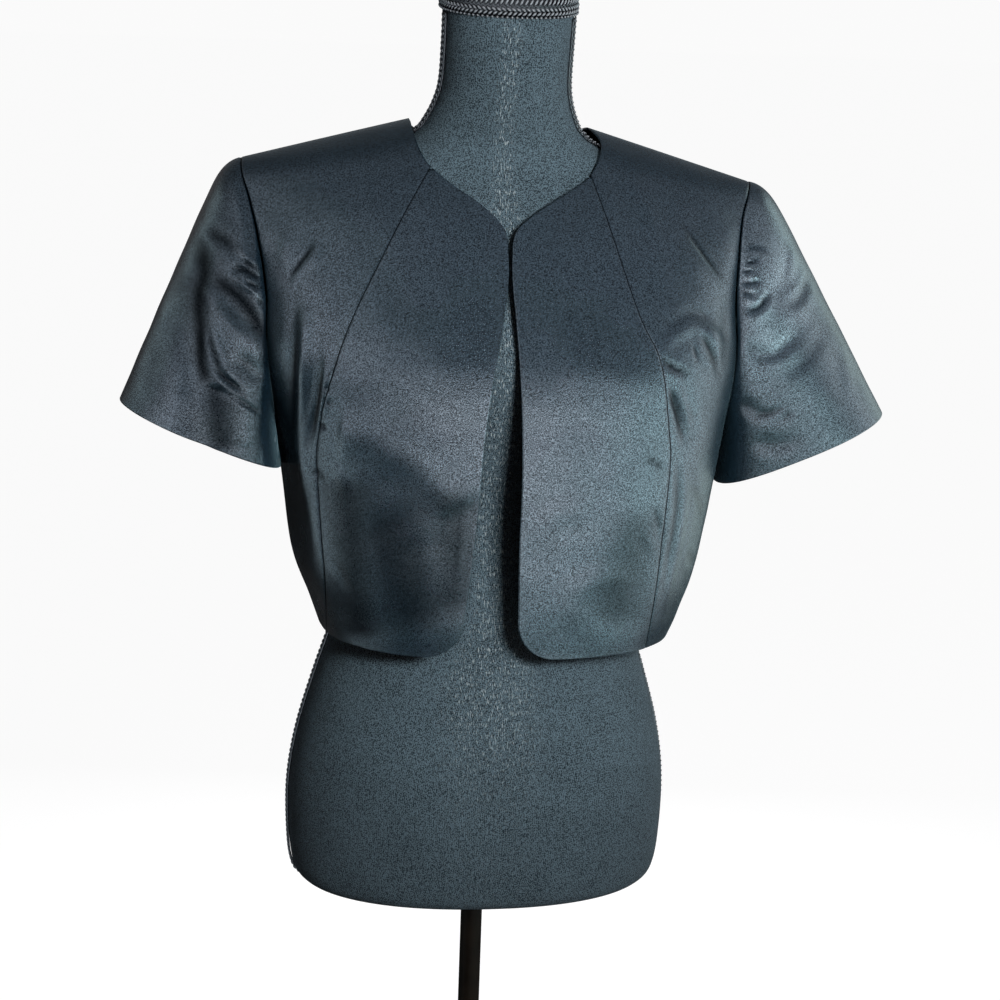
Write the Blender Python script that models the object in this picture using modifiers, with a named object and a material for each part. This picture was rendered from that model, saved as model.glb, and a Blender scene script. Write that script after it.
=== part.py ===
"""Cropped satin blazer with short sleeves, worn by a limbless dress form on a pole and a round base.

Units are metres, +Z is up and the front faces -Y. The origin is on the floor, under the pole.
The wearer's right side is at -X. Every cut and sewn piece of cloth is one closed wall.
"""
import math
from collections import namedtuple

import bmesh
import bpy
import numpy as np

# Driving dimensions
CLOTH = 0.0020            # thickness of a faced and lined cloth wall
SEAM = 0.0003             # gap between pieces that are sewn or set together
ARMHOLE_GAP = 0.0005      # gap at the armhole seam, measured sideways
ROUNDNESS = 2.5           # exponent of the jacket's superellipse sections
SHOULDER_TIP = 0.213      # half the shoulder width, seam to seam
SHOULDER_TURN = 58.7      # turn of the armhole edge at the shoulder tip, in degrees from the centre
ARMHOLE_POWER = 0.4       # how fast the armhole edge leaves the side seam above the underarm
SOFT_CENTRE = 0.020       # half width of the rounded middle of the shoulder slope
CORNER_RADIUS = 0.030     # rounded lower corner of each front
BACK_NECK_DROP = 0.018    # back neckline's middle, below the neck points
SLEEVE_HEAD = 0.013       # fullness of the sleeve head over its seam
SLEEVE_FLAT = 3.2         # exponent of the sleeve hem's inner half, which lies flat along the body
SLEEVE_SIDE = 0.003       # fullness of the sleeve at the underarm
HEAD_RISE = 0.05          # share of the sleeve's length over which its head fills out
HEAD_SPREAD = 0.25        # how evenly the head's fullness runs round the sleeve
SLEEVE_FOLD_START = 0.10  # share of the sleeve's length over which its folds begin
FOLD_FADE = 0.030         # folds of the fronts die out this near to the side and shoulder seams

TORSO_ROUNDNESS = 2.2     # exponent of the dress form's superellipse sections
NECK_SLANT = math.radians(8.0)
SLANTED_SECTIONS = 2      # the neck's top slants over this many of the last sections
BRAID_THICKNESS = 0.0030
SIDE_BRAID_WIDTH = 0.009
BRAID_STEP = 0.05         # step of angle that gives the way across a side braid
BRAID_TURN_START = 17.0   # place on the shoulder where a side braid begins to turn to the front
BRAID_TURN_END = 19.5     # place on the neck where it has turned
POLE_RADIUS = 0.0095
POLE_IN_TORSO = 0.040     # depth of the pole's socket in the dress form
BASE_RADIUS = 0.170
BASE_EDGE = 0.006         # thickness of the base plate at its rim
BASE_DOME = 0.022         # rise of the base plate towards its collar
BASE_ROUND = 0.002        # rounding of the rim and of the collar's top edge
COLLAR_RADIUS = 0.019
COLLAR_TOP = 0.070
SOCKET_FLOOR = 0.020
BORE_PAST_END = 0.020     # the bore's cutter reaches this far below the dress form

# Mesh densities
HEM_ROWS = 5
LOWER_ROWS = 5
ARMHOLE_ROWS = 14
CENTRE_COLUMNS = 8
SIDE_COLUMNS = 11
BACK_SHOULDER_COLUMNS = 6
BACK_NECK_COLUMNS = 10
BACK_ROW_BEND = 4         # power by which the back's rows bend down under its neckline
SLEEVE_STEPS = (0.0, 0.025, 0.06, 0.11, 0.18, 0.27, 0.37, 0.48, 0.60, 0.72, 0.86, 1.0)
TORSO_SIDES = 32
RING_GAP = 0.030          # dress form sections further apart than this have a ring between them
POLE_SIDES = 24
BASE_SIDES = 36
DOME_STEPS = 6
SHARP_ANGLE = math.radians(40.0)
NEAR_ROW = 0.05           # a row this near to a needed place is moved to it
PANEL_TIP = 0.06          # the centre panel's upper end, below the point where its edges meet
CORNER_POINTS = 3         # last points of the neckline, which round the front's upper corner and have rows

RIGHT = -1
LEFT = 1
FRONT = -1
BACK = 1

# Level sections of the jacket's body, hem to shoulder seam: reach to each side, depth to the front
# and the back, rise of the neck over the shoulder tip, and drop per metre towards the left side
BodySection = namedtuple("BodySection", "z reach_right reach_left front back rise tilt")
BODY = (
    BodySection(0.9455, 0.1420, 0.1600, 0.128, 0.088, 0.000, 0.012),
    BodySection(0.970, 0.1510, 0.1700, 0.131, 0.090, 0.000, 0.012),
    BodySection(1.010, 0.1660, 0.1825, 0.134, 0.093, 0.000, 0.012),
    BodySection(1.077, 0.1755, 0.1935, 0.137, 0.098, 0.000, 0.012),
    BodySection(1.130, 0.1860, 0.2010, 0.138, 0.102, 0.000, 0.013),
    BodySection(1.187, 0.2007, 0.2096, 0.136, 0.107, 0.000, 0.015),
    BodySection(1.235, 0.2080, 0.2112, 0.1215, 0.106, 0.008, 0.017),
    BodySection(1.275, 0.2197, 0.2180, 0.099, 0.098, 0.024, 0.019),
    BodySection(1.305, 0.2307, 0.2274, 0.070, 0.080, 0.041, 0.020),
    BodySection(1.325, 0.2393, 0.2382, 0.041, 0.050, 0.053, 0.021),
    BodySection(1.335, 0.2402, 0.2458, 0.000, 0.000, 0.0595, 0.0213),
)
UNDERARM = 4.0
TOP = float(len(BODY) - 1)

# Edges and seams of the fronts, by side, from the top down: height and distance from the centre
EdgePoint = namedtuple("EdgePoint", "z x")
FRONT_EDGE = {
    RIGHT: (EdgePoint(1.2834, -0.0041), EdgePoint(1.2562, -0.0044), EdgePoint(1.2180, -0.0098),
            EdgePoint(1.1738, -0.0170), EdgePoint(1.1228, -0.0226), EdgePoint(1.0677, -0.0255),
            EdgePoint(1.0116, -0.0300), EdgePoint(0.944, -0.0363)),
    LEFT: (EdgePoint(1.2834, -0.0007), EdgePoint(1.2562, -0.0015), EdgePoint(1.2181, 0.0015),
           EdgePoint(1.1872, 0.0040), EdgePoint(1.1449, 0.0068), EdgePoint(1.0952, 0.0087),
           EdgePoint(1.0394, 0.0088), EdgePoint(0.9833, 0.0105), EdgePoint(0.944, 0.0125)),
}
NECKLINE = {
    RIGHT: (EdgePoint(1.3760, -0.0742), EdgePoint(1.3669, -0.0742), EdgePoint(1.3574, -0.0721),
            EdgePoint(1.3501, -0.0692), EdgePoint(1.3416, -0.0634), EdgePoint(1.3273, -0.0462),
            EdgePoint(1.3178, -0.0310), EdgePoint(1.3093, -0.0195), EdgePoint(1.3008, -0.0107),
            EdgePoint(1.2933, -0.0058), EdgePoint(1.2834, -0.0041)),
    LEFT: (EdgePoint(1.3720, 0.0765), EdgePoint(1.3613, 0.0822), EdgePoint(1.3505, 0.0778),
           EdgePoint(1.3404, 0.0714), EdgePoint(1.3316, 0.0626), EdgePoint(1.3203, 0.0423),
           EdgePoint(1.3088, 0.0221), EdgePoint(1.2999, 0.0094), EdgePoint(1.2923, 0.0023),
           EdgePoint(1.2834, -0.0007)),
}
PRINCESS_SEAM = {
    RIGHT: (EdgePoint(1.341, -0.0630), EdgePoint(1.289, -0.0946), EdgePoint(1.209, -0.1333),
            EdgePoint(1.129, -0.1520), EdgePoint(1.073, -0.1504), EdgePoint(0.944, -0.1380)),
    LEFT: (EdgePoint(1.337, 0.0682), EdgePoint(1.236, 0.1005), EdgePoint(1.192, 0.1215),
           EdgePoint(1.136, 0.1320), EdgePoint(1.090, 0.1350), EdgePoint(0.944, 0.1270)),
}

# Hem of each sleeve: the centre of its ring, half its width and depth, and the rise of its outer edge
SleeveHem = namedtuple("SleeveHem", "x y z half_width half_depth lift")
SLEEVE_HEM = {
    RIGHT: SleeveHem(-0.2452, 0.002, 1.1110, 0.0703, 0.066, math.radians(20.9)),
    LEFT: SleeveHem(0.2735, 0.002, 1.1010, 0.0808, 0.054, math.radians(21.9)),
}

# Largest folds, seen from the front: two ends, half width, and height (a trough is negative)
Fold = namedtuple("Fold", "x0 z0 x1 z1 half_width height")
FRONT_FOLDS = (
    Fold(-0.1705, 1.2300, -0.1690, 1.0950, 0.010, -0.0040),
    Fold(-0.1690, 1.0950, -0.1430, 0.9580, 0.011, -0.0030),
    Fold(-0.1578, 1.1890, -0.1638, 1.1000, 0.008, -0.0025),
    Fold(0.1486, 1.2975, 0.1897, 1.2528, 0.011, -0.0030),
    Fold(0.1640, 1.2195, 0.1836, 1.1860, 0.011, 0.0030),
    Fold(0.1338, 1.1728, 0.1543, 1.1217, 0.009, -0.0030),
)
SLEEVE_FOLDS = (
    Fold(-0.2570, 1.2755, -0.2610, 1.2109, 0.013, -0.0050),
    Fold(-0.2610, 1.2109, -0.2421, 1.0997, 0.014, -0.0045),
    Fold(-0.2415, 1.2439, -0.1985, 1.1972, 0.011, -0.0040),
    Fold(0.2161, 1.2297, 0.2553, 1.2608, 0.011, -0.0035),
    Fold(0.2083, 1.2070, 0.2312, 1.1919, 0.011, -0.0040),
    Fold(0.2312, 1.1919, 0.2724, 1.2191, 0.012, -0.0040),
)

# Level sections of the dress form, bottom edge to neck top
TorsoSection = namedtuple("TorsoSection", "z half_width front back centre")
TORSO = (
    TorsoSection(0.7140, 0.1440, 0.0920, 0.1020, 0.000),
    TorsoSection(0.7175, 0.1530, 0.1000, 0.1095, 0.000),
    TorsoSection(0.7270, 0.1600, 0.1055, 0.1150, 0.000),
    TorsoSection(0.7520, 0.1640, 0.1085, 0.1185, 0.000),
    TorsoSection(0.8020, 0.1650, 0.1100, 0.1200, 0.000),
    TorsoSection(0.8500, 0.1580, 0.1065, 0.1150, 0.000),
    TorsoSection(0.9000, 0.1440, 0.0995, 0.1040, 0.000),
    TorsoSection(0.9500, 0.1280, 0.0915, 0.0800, 0.000),
    TorsoSection(1.0000, 0.1165, 0.0860, 0.0770, 0.000),
    TorsoSection(1.0450, 0.1130, 0.0840, 0.0760, 0.000),
    TorsoSection(1.0900, 0.1200, 0.0920, 0.0810, 0.000),
    TorsoSection(1.1400, 0.1340, 0.1100, 0.0890, 0.000),
    TorsoSection(1.1870, 0.1440, 0.1240, 0.0950, 0.000),
    TorsoSection(1.2250, 0.1520, 0.1150, 0.0970, 0.000),
    TorsoSection(1.2600, 0.1610, 0.1000, 0.0930, 0.000),
    TorsoSection(1.2900, 0.1640, 0.0890, 0.0860, -0.001),
    TorsoSection(1.3140, 0.1570, 0.0765, 0.0780, -0.001),
    TorsoSection(1.3300, 0.1380, 0.0665, 0.0720, -0.002),
    TorsoSection(1.3450, 0.1110, 0.0595, 0.0660, -0.003),
    TorsoSection(1.3575, 0.0835, 0.0550, 0.0600, -0.004),
    TorsoSection(1.3677, 0.0697, 0.0540, 0.0560, -0.008),
    TorsoSection(1.3756, 0.0640, 0.0535, 0.0540, -0.012),
    TorsoSection(1.3900, 0.0575, 0.0515, 0.0525, -0.019),
    TorsoSection(1.4080, 0.0535, 0.0505, 0.0515, -0.026),
    TorsoSection(1.4420, 0.0530, 0.0505, 0.0510, -0.034),
    TorsoSection(1.4820, 0.0535, 0.0510, 0.0510, -0.040),
)
TORSO_BOTTOM = TORSO[0].z
TORSO_TOP = len(TORSO) - 1
NECK_BAND_FOOT = TORSO_TOP - 0.4   # place of the neck braid's lower edge

# Cross-sections of the braids: place across the strip, from edge to edge, and lift, as shares of its sizes
BraidPoint = namedtuple("BraidPoint", "across lift")
NECK_BRAID = (
    BraidPoint(0.0, 0.0), BraidPoint(0.0, 0.7), BraidPoint(0.2, 1.0),
    BraidPoint(0.8, 1.0), BraidPoint(1.0, 0.7), BraidPoint(1.0, 0.0),
)
SIDE_BRAID = (
    BraidPoint(-0.5, 0.0), BraidPoint(-0.5, 0.6), BraidPoint(-0.25, 1.0),
    BraidPoint(0.25, 1.0), BraidPoint(0.5, 0.6), BraidPoint(0.5, 0.0),
)

# How far each side braid lies in front of the neck's side
BRAID_FORWARD = {RIGHT: math.radians(11.0), LEFT: math.radians(22.0)}

# Finishes: colour, roughness and metallic value
Finish = namedtuple("Finish", "colour roughness metallic")
SATIN = Finish((0.020, 0.025, 0.032, 1.0), 0.42, 0.0)
JERSEY = Finish((0.026, 0.032, 0.037, 1.0), 0.85, 0.0)
GIMP = Finish((0.008, 0.009, 0.010, 1.0), 0.60, 0.0)
PAINTED_STEEL = Finish((0.012, 0.010, 0.008, 1.0), 0.40, 0.3)


def start_scene():
    """Remove what the scene holds and make the collections for the parts and the cutters."""
    for thing in list(bpy.data.objects):
        bpy.data.objects.remove(thing, do_unlink=True)
    collections = {}
    for name in ("cropped_blazer_on_form", "cutters"):
        collections[name] = bpy.data.collections.new(name)
        bpy.context.scene.collection.children.link(collections[name])
    return collections["cropped_blazer_on_form"], collections["cutters"]


def make_material(name, finish):
    """A Principled material from a finish."""
    material = bpy.data.materials.new(name)
    material.use_nodes = True
    shader = material.node_tree.nodes["Principled BSDF"]
    shader.inputs["Base Color"].default_value = finish.colour
    shader.inputs["Roughness"].default_value = finish.roughness
    shader.inputs["Metallic"].default_value = finish.metallic
    return material


def smooth_row(rows, place):
    """Row at a fractional place in a table, on a smooth curve through its rows (Catmull-Rom)."""
    last = len(rows) - 1
    start = min(max(int(math.floor(place)), 0), last - 1)
    share = place - start
    p1 = np.array(rows[start])
    p2 = np.array(rows[start + 1])
    p0 = np.array(rows[start - 1]) if start > 0 else 2.0 * p1 - p2
    p3 = np.array(rows[start + 2]) if start + 2 <= last else 2.0 * p2 - p1
    slope_1 = (p2 - p0) / 2.0
    slope_2 = (p3 - p1) / 2.0
    square = share * share
    cube = square * share
    values = ((2.0 * cube - 3.0 * square + 1.0) * p1 + (cube - 2.0 * square + share) * slope_1
              + (3.0 * square - 2.0 * cube) * p2 + (cube - square) * slope_2)
    return type(rows[0])(*values)


# A row past the shoulder seam, mirrored from front to back, so that the shoulder rounds over
BODY_AND_FAR_SIDE = BODY + (BODY[-2]._replace(front=-BODY[-2].front, back=-BODY[-2].back),)


def body_section(place):
    """Jacket section at a place from 0, the hem, to TOP, the shoulder seam."""
    return smooth_row(BODY_AND_FAR_SIDE, place)


def slope_height(section, x):
    """Height of a section at a distance from the centre, with its shoulder slope and tilt."""
    across = math.hypot(x, SOFT_CENTRE) / SHOULDER_TIP
    return section.z + section.rise * (1.0 - across) - section.tilt * x


def body_base(turn, face, place):
    """Point of the jacket's plain surface: turn is 0 at the centre and a right angle at the side."""
    section = body_section(place)
    reach = section.reach_right if turn < 0.0 else section.reach_left
    depth = section.front if face == FRONT else section.back
    power = 2.0 / ROUNDNESS
    x = math.copysign(reach * abs(math.sin(turn)) ** power, turn)
    y = face * depth * max(math.cos(turn), 0.0) ** power
    return np.array((x, y, slope_height(section, x)))


def body_normal(turn, face, place):
    """Outward unit normal of the jacket's plain surface."""
    step = 0.002
    limit = math.pi / 2.0
    after = body_base(min(turn + step, limit), face, place)
    before = body_base(max(turn - step, -limit), face, place)
    along_turn = after - before
    along_place = body_base(turn, face, place + step) - body_base(turn, face, max(place - step, 0.0))
    normal = np.cross(along_turn, along_place) * -face
    return normal / np.linalg.norm(normal)


def fold_height(folds, x, z):
    """Height that the folds add at a point seen from the front."""
    total = 0.0
    for fold in folds:
        run = np.array((fold.x1 - fold.x0, fold.z1 - fold.z0))
        offset = np.array((x - fold.x0, z - fold.z0))
        share = min(max(float(offset @ run) / float(run @ run), 0.0), 1.0)
        distance = float(np.linalg.norm(offset - share * run))
        total += fold.height * math.exp(-(distance / fold.half_width) ** 2)
    return total


def cloth_points(turn, face, place):
    """Outer and inner point of the jacket's body wall, with its folds."""
    base = body_base(turn, face, place)
    normal = body_normal(turn, face, place)
    height = 0.0
    if face == FRONT:
        fade = min(abs(base[1]) / FOLD_FADE, 1.0)
        height = fold_height(FRONT_FOLDS, base[0], base[2]) * fade * fade * (3.0 - 2.0 * fade)
    outer = base + normal * height
    return outer, outer - normal * CLOTH


def place_at(x, z):
    """Place of the section that has a given height at a distance from the centre."""
    low, high = 0.0, TOP
    for _ in range(40):
        middle = (low + high) / 2.0
        if slope_height(body_section(middle), x) < z:
            low = middle
        else:
            high = middle
    return (low + high) / 2.0


def turn_at(x, place):
    """Turn of the point of a section at a distance from the centre."""
    section = body_section(place)
    reach = section.reach_right if x < 0.0 else section.reach_left
    return math.copysign(math.asin(min(abs(x) / reach, 1.0) ** (ROUNDNESS / 2.0)), x)


def edge_curve(table, samples=60):
    """Places, rising, and distances from the centre along an edge or a seam."""
    places, distances = [], []
    for index in range(samples + 1):
        point = smooth_row(table, (len(table) - 1) * index / samples)
        places.append(place_at(point.x, point.z))
        distances.append(point.x)
    return places[::-1], distances[::-1]


def armhole_turn(place):
    """Turn of the armhole edge above the underarm, and of the side seam below it."""
    if place <= UNDERARM:
        return math.pi / 2.0
    low = BODY[int(UNDERARM)].z
    share = (body_section(min(place, TOP)).z - low) / (BODY[-1].z - low)
    return math.pi / 2.0 - (math.pi / 2.0 - math.radians(SHOULDER_TURN)) * share ** ARMHOLE_POWER


def seam_turn(turn, face, place, towards):
    """A seam's turn, drawn back by half the seam gap; towards is the way out of the panel."""
    step = 0.001
    drawn_back = body_base(turn - towards * step, face, place)
    stretch = np.linalg.norm(drawn_back - body_base(turn, face, place)) / step
    return turn - towards * (SEAM / 2.0) / stretch


def shoulder_place():
    """Place of the shoulder edge, drawn back by half the seam gap."""
    step = 0.01
    middle = math.radians(SHOULDER_TURN) / 2.0
    length = np.linalg.norm(body_base(middle, FRONT, TOP) - body_base(middle, FRONT, TOP - step))
    return TOP - step * (SEAM / 2.0) / length


def body_places(extra=()):
    """Places of the rows of a body panel: rounded hem corner, straight part, armhole and shoulder."""
    hem = BODY[0].z
    corner = [math.pi / 2.0 * k / HEM_ROWS for k in range(HEM_ROWS + 1)]
    places = [place_at(0.0, hem + CORNER_RADIUS * (1.0 - math.cos(angle))) for angle in corner]
    places[0] = 0.0
    first = places[-1]
    places += [first + (UNDERARM - first) * k / LOWER_ROWS for k in range(1, LOWER_ROWS + 1)]
    top = shoulder_place()
    for k in range(1, ARMHOLE_ROWS + 1):
        share = (1.0 - math.cos(math.pi * k / ARMHOLE_ROWS)) / 2.0
        places.append(UNDERARM + (top - UNDERARM) * share)
    for place in extra:
        nearest = min(range(len(places)), key=lambda k: abs(places[k] - place))
        if abs(places[nearest] - place) < NEAR_ROW:
            places[nearest] = place
        else:
            places.append(place)
            places.sort()
    return places


def grid_of(rows):
    """Outer and inner grids of points from rows of (turn, face, place)."""
    outer, inner = [], []
    for row in rows:
        pairs = [cloth_points(*where) for where in row]
        outer.append([pair[0] for pair in pairs])
        inner.append([pair[1] for pair in pairs])
    return np.array(outer), np.array(inner)


def spread(first, last, count):
    """Evenly spread values from first to last."""
    return [first + (last - first) * k / (count - 1) for k in range(count)]


class FrontSide:
    """The two front panels of one side, cut apart by the princess seam."""

    def __init__(self, side):
        self.side = side
        self.edge = edge_curve(FRONT_EDGE[side])
        self.neck = edge_curve(NECKLINE[side])
        self.seam = edge_curve(PRINCESS_SEAM[side])
        self.v_place = place_at(FRONT_EDGE[side][0].x, FRONT_EDGE[side][0].z)
        self.join = self.seam[0][-1]
        self.tip = self.join - PANEL_TIP
        corner = [place_at(point.x, point.z) for point in NECKLINE[side][-CORNER_POINTS:-1]]
        self.places = body_places((self.v_place, *corner, self.tip, self.join))

    def free_edge(self, place):
        """Turn of the front edge, with its rounded lower corner, or of the neckline above the V."""
        if place > self.v_place:
            return turn_at(float(np.interp(place, *self.neck)), place)
        x = float(np.interp(place, *self.edge))
        low = CORNER_RADIUS - (body_section(place).z - BODY[0].z)
        if low > 0.0:
            x += self.side * (CORNER_RADIUS - math.sqrt(max(CORNER_RADIUS ** 2 - low ** 2, 0.0)))
        return turn_at(x, place)

    def princess(self, place):
        """Turn of the princess seam."""
        return turn_at(float(np.interp(place, *self.seam)), place)

    def centre_rows(self):
        """Rows of the centre panel, from the hem to its upper tip."""
        rows = []
        for place in self.places[:self.places.index(self.tip) + 1]:
            outer = seam_turn(self.princess(place), FRONT, place, self.side)
            turns = spread(self.free_edge(place), outer, CENTRE_COLUMNS)
            rows.append([(turn, FRONT, place) for turn in turns])
        return rows

    def side_rows(self):
        """Rows of the side panel, from the hem to the shoulder seam."""
        rows = []
        for place in self.places:
            if place < self.join:
                inner = seam_turn(self.princess(place), FRONT, place, -self.side)
            else:
                inner = self.free_edge(place)
            outer = self.side * armhole_turn(place)
            if place <= UNDERARM:
                outer = seam_turn(outer, FRONT, place, self.side)
            rows.append([(turn, FRONT, place) for turn in spread(inner, outer, SIDE_COLUMNS)])
        return rows


def back_rows():
    """Rows of the back, one piece from side seam to side seam, with its neckline cut out."""
    neck = {side: NECKLINE[side][0] for side in (RIGHT, LEFT)}
    tip_turn = math.radians(SHOULDER_TURN)
    share = {side: abs(turn_at(neck[side].x, TOP)) / tip_turn for side in neck}
    low = place_at(0.0, (neck[RIGHT].z + neck[LEFT].z) / 2.0 - BACK_NECK_DROP)
    top = shoulder_place()
    columns = spread(-1.0, -share[RIGHT], BACK_SHOULDER_COLUMNS)[:-1]
    for angle in spread(-math.pi / 2.0, math.pi / 2.0, BACK_NECK_COLUMNS + 1):
        columns.append(math.sin(angle) * share[RIGHT if angle < 0.0 else LEFT])
    columns += spread(share[LEFT], 1.0, BACK_SHOULDER_COLUMNS)[1:]
    rows = []
    for place in body_places():
        row = []
        for column in columns:
            side = RIGHT if column < 0.0 else LEFT
            inside = max(1.0 - (column / share[side]) ** 2, 0.0)
            ceiling = top - (top - low) * math.sqrt(inside)
            here = place - (top - ceiling) * (place / top) ** BACK_ROW_BEND
            limit = armhole_turn(place) if abs(column) == 1.0 else armhole_turn(here)
            turn = column * limit
            if abs(column) == 1.0 and place <= UNDERARM:
                turn = seam_turn(turn, BACK, here, side)
            row.append((turn, BACK, here))
        rows.append(row)
    return rows


def sleeve_grids(front):
    """Outer and inner grids of a sleeve, set in round the armhole and open at its hem."""
    side = front.side
    back_places = [place for place in body_places() if place >= UNDERARM]
    front_places = [place for place in front.places if place >= UNDERARM]
    front_places[-1] = TOP
    loop = [(side * armhole_turn(place), FRONT, place) for place in reversed(front_places)]
    loop += [(side * armhole_turn(place), BACK, place) for place in back_places[1:-1]]
    out = np.array((side * ARMHOLE_GAP, 0.0, 0.0))
    armhole = np.array([cloth_points(*where)[0] for where in loop]) + out

    hem = SLEEVE_HEM[side]
    half = len(front_places) - 1
    steps = np.linalg.norm(np.roll(armhole, -1, axis=0) - armhole, axis=1)
    down = np.cumsum(steps[:half]) / np.sum(steps[:half])
    up = np.cumsum(steps[half:]) / np.sum(steps[half:])
    angles = math.pi * np.concatenate(((0.0,), down, 1.0 + up[:-1]))
    across = np.array((side * math.cos(hem.lift), 0.0, math.sin(hem.lift)))
    forward = np.array((0.0, -1.0, 0.0))
    ring = []
    for angle in angles:
        power = 1.0 if math.cos(angle) > 0.0 else 2.0 / SLEEVE_FLAT
        out_share = math.copysign(abs(math.cos(angle)) ** power, math.cos(angle))
        front_share = math.copysign(abs(math.sin(angle)) ** power, math.sin(angle))
        ring.append(np.array((hem.x, hem.y, hem.z)) + across * hem.half_width * out_share
                    + forward * hem.half_depth * front_share)
    ring = np.array(ring)

    plain = np.array([armhole * (1.0 - step) + ring * step for step in SLEEVE_STEPS])
    normals = tube_normals(plain)
    outer = plain.copy()
    for row, step in enumerate(SLEEVE_STEPS):
        rise = (1.0 - step) * (1.0 - math.exp(-step / HEAD_RISE))
        fold_share = min(step / SLEEVE_FOLD_START, 1.0)
        for column, angle in enumerate(angles):
            crown = (1.0 + math.cos(angle)) / 2.0
            fullness = SLEEVE_SIDE + (SLEEVE_HEAD - SLEEVE_SIDE) * crown
            x, _, z = plain[row, column]
            height = fullness * rise * crown ** HEAD_SPREAD
            height += fold_height(SLEEVE_FOLDS, x, z) * max(math.sin(angle), 0.0) * fold_share
            outer[row, column] = plain[row, column] + normals[row, column] * height
    return outer, outer - tube_normals(outer) * CLOTH


def tube_normals(grid):
    """Outward unit normals of a tube given as a grid of rings."""
    along = np.gradient(grid, axis=0)
    around = np.roll(grid, -1, axis=1) - np.roll(grid, 1, axis=1)
    normals = np.cross(along, around)
    normals /= np.linalg.norm(normals, axis=2, keepdims=True)
    outward = np.sum(normals * (grid - grid.mean(axis=1, keepdims=True)))
    return normals if outward > 0.0 else -normals


def add_object(name, mesh, material, collection, parent):
    """Link a mesh as a named, smooth-shaded object."""
    mesh.materials.append(material)
    mesh.shade_smooth()
    mesh.set_sharp_from_angle(angle=SHARP_ANGLE)
    thing = bpy.data.objects.new(name, mesh)
    thing.parent = parent
    collection.objects.link(thing)
    return thing


def wall_mesh(name, outer, inner, closed):
    """Closed wall between two matching grids of points; a closed one runs round as a tube."""
    rows, columns = outer.shape[:2]
    shape = bmesh.new()
    layers = [[[shape.verts.new(point) for point in row] for row in grid] for grid in (outer, inner)]
    steps = columns if closed else columns - 1
    for row in range(rows - 1):
        for column in range(steps):
            after = (column + 1) % columns
            for layer, flip in zip(layers, (False, True)):
                corners = [layer[row][column], layer[row][after],
                           layer[row + 1][after], layer[row + 1][column]]
                shape.faces.new(corners[::-1] if flip else corners)
    first, second = layers
    for row in (0, rows - 1):
        for column in range(steps):
            after = (column + 1) % columns
            shape.faces.new((first[row][column], second[row][column],
                             second[row][after], first[row][after]))
    if not closed:
        for column in (0, columns - 1):
            for row in range(rows - 1):
                shape.faces.new((first[row][column], first[row + 1][column],
                                 second[row + 1][column], second[row][column]))
    return finish_mesh(name, shape)


def finish_mesh(name, shape):
    """Turn all faces of a bmesh outwards and make it a mesh."""
    bmesh.ops.recalc_face_normals(shape, faces=shape.faces[:])
    mesh = bpy.data.meshes.new(name)
    shape.to_mesh(mesh)
    shape.free()
    return mesh


def torso_point(angle, place):
    """Point of the dress form's surface: the angle is 0 at the left side and runs round by the front."""
    section = smooth_row(TORSO, place)
    power = 2.0 / TORSO_ROUNDNESS
    x = math.copysign(section.half_width * abs(math.cos(angle)) ** power, math.cos(angle))
    depth = section.front if math.sin(angle) > 0.0 else section.back
    y = section.centre - math.copysign(depth * abs(math.sin(angle)) ** power, math.sin(angle))
    slanted = max(place - (TORSO_TOP - SLANTED_SECTIONS), 0.0) / SLANTED_SECTIONS
    return np.array((x, y, section.z + slanted * math.tan(NECK_SLANT) * (y - section.centre)))


def torso_normal(angle, place):
    """Outward unit normal of the dress form's surface."""
    step = 0.01
    around = torso_point(angle + step, place) - torso_point(angle - step, place)
    along = torso_point(angle, min(place + step, TORSO_TOP)) - torso_point(angle, max(place - step, 0.0))
    normal = np.cross(along, around)
    return normal / np.linalg.norm(normal)


def torso_places():
    """Places of the dress form's rings, with one between far sections and one at the neck band's foot."""
    places = []
    for index in range(TORSO_TOP):
        places.append(float(index))
        if TORSO[index + 1].z - TORSO[index].z > RING_GAP and index + 1 < TORSO_TOP:
            places.append(index + 0.5)
    return places + [NECK_BAND_FOOT, float(TORSO_TOP)]


def torso_mesh():
    """Solid dress form: rings round its sections, flat under it and at the neck's top."""
    shape = bmesh.new()
    angles = [2.0 * math.pi * k / TORSO_SIDES for k in range(TORSO_SIDES)]
    rings = []
    for place in torso_places():
        rings.append([shape.verts.new(torso_point(angle, place)) for angle in angles])
    for lower, upper in zip(rings, rings[1:]):
        for k in range(TORSO_SIDES):
            after = (k + 1) % TORSO_SIDES
            shape.faces.new((lower[k], lower[after], upper[after], upper[k]))
    shape.faces.new(rings[0])
    shape.faces.new(rings[-1])
    return finish_mesh("form_torso", shape)


def strip_mesh(name, sections, closed):
    """Closed strip through matching cross-sections; a closed one meets its own start."""
    shape = bmesh.new()
    loops = [[shape.verts.new(point) for point in section] for section in sections]
    pairs = list(zip(loops, loops[1:]))
    if closed:
        pairs.append((loops[-1], loops[0]))
    for near, far in pairs:
        for k in range(len(near)):
            after = (k + 1) % len(near)
            shape.faces.new((near[k], near[after], far[after], far[k]))
    if not closed:
        shape.faces.new(loops[0])
        shape.faces.new(loops[-1])
    return finish_mesh(name, shape)


def neck_braid_mesh():
    """Band of gimp braid round the top of the neck."""
    sections = []
    for k in range(TORSO_SIDES):
        angle = 2.0 * math.pi * k / TORSO_SIDES
        top = torso_point(angle, TORSO_TOP)
        foot = torso_point(angle, NECK_BAND_FOOT)
        out = torso_normal(angle, (TORSO_TOP + NECK_BAND_FOOT) / 2.0)
        sections.append([top + out * (SEAM + BRAID_THICKNESS * point.lift) + (foot - top) * point.across
                         for point in NECK_BRAID])
    return strip_mesh("neck_braid", sections, True)


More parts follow.
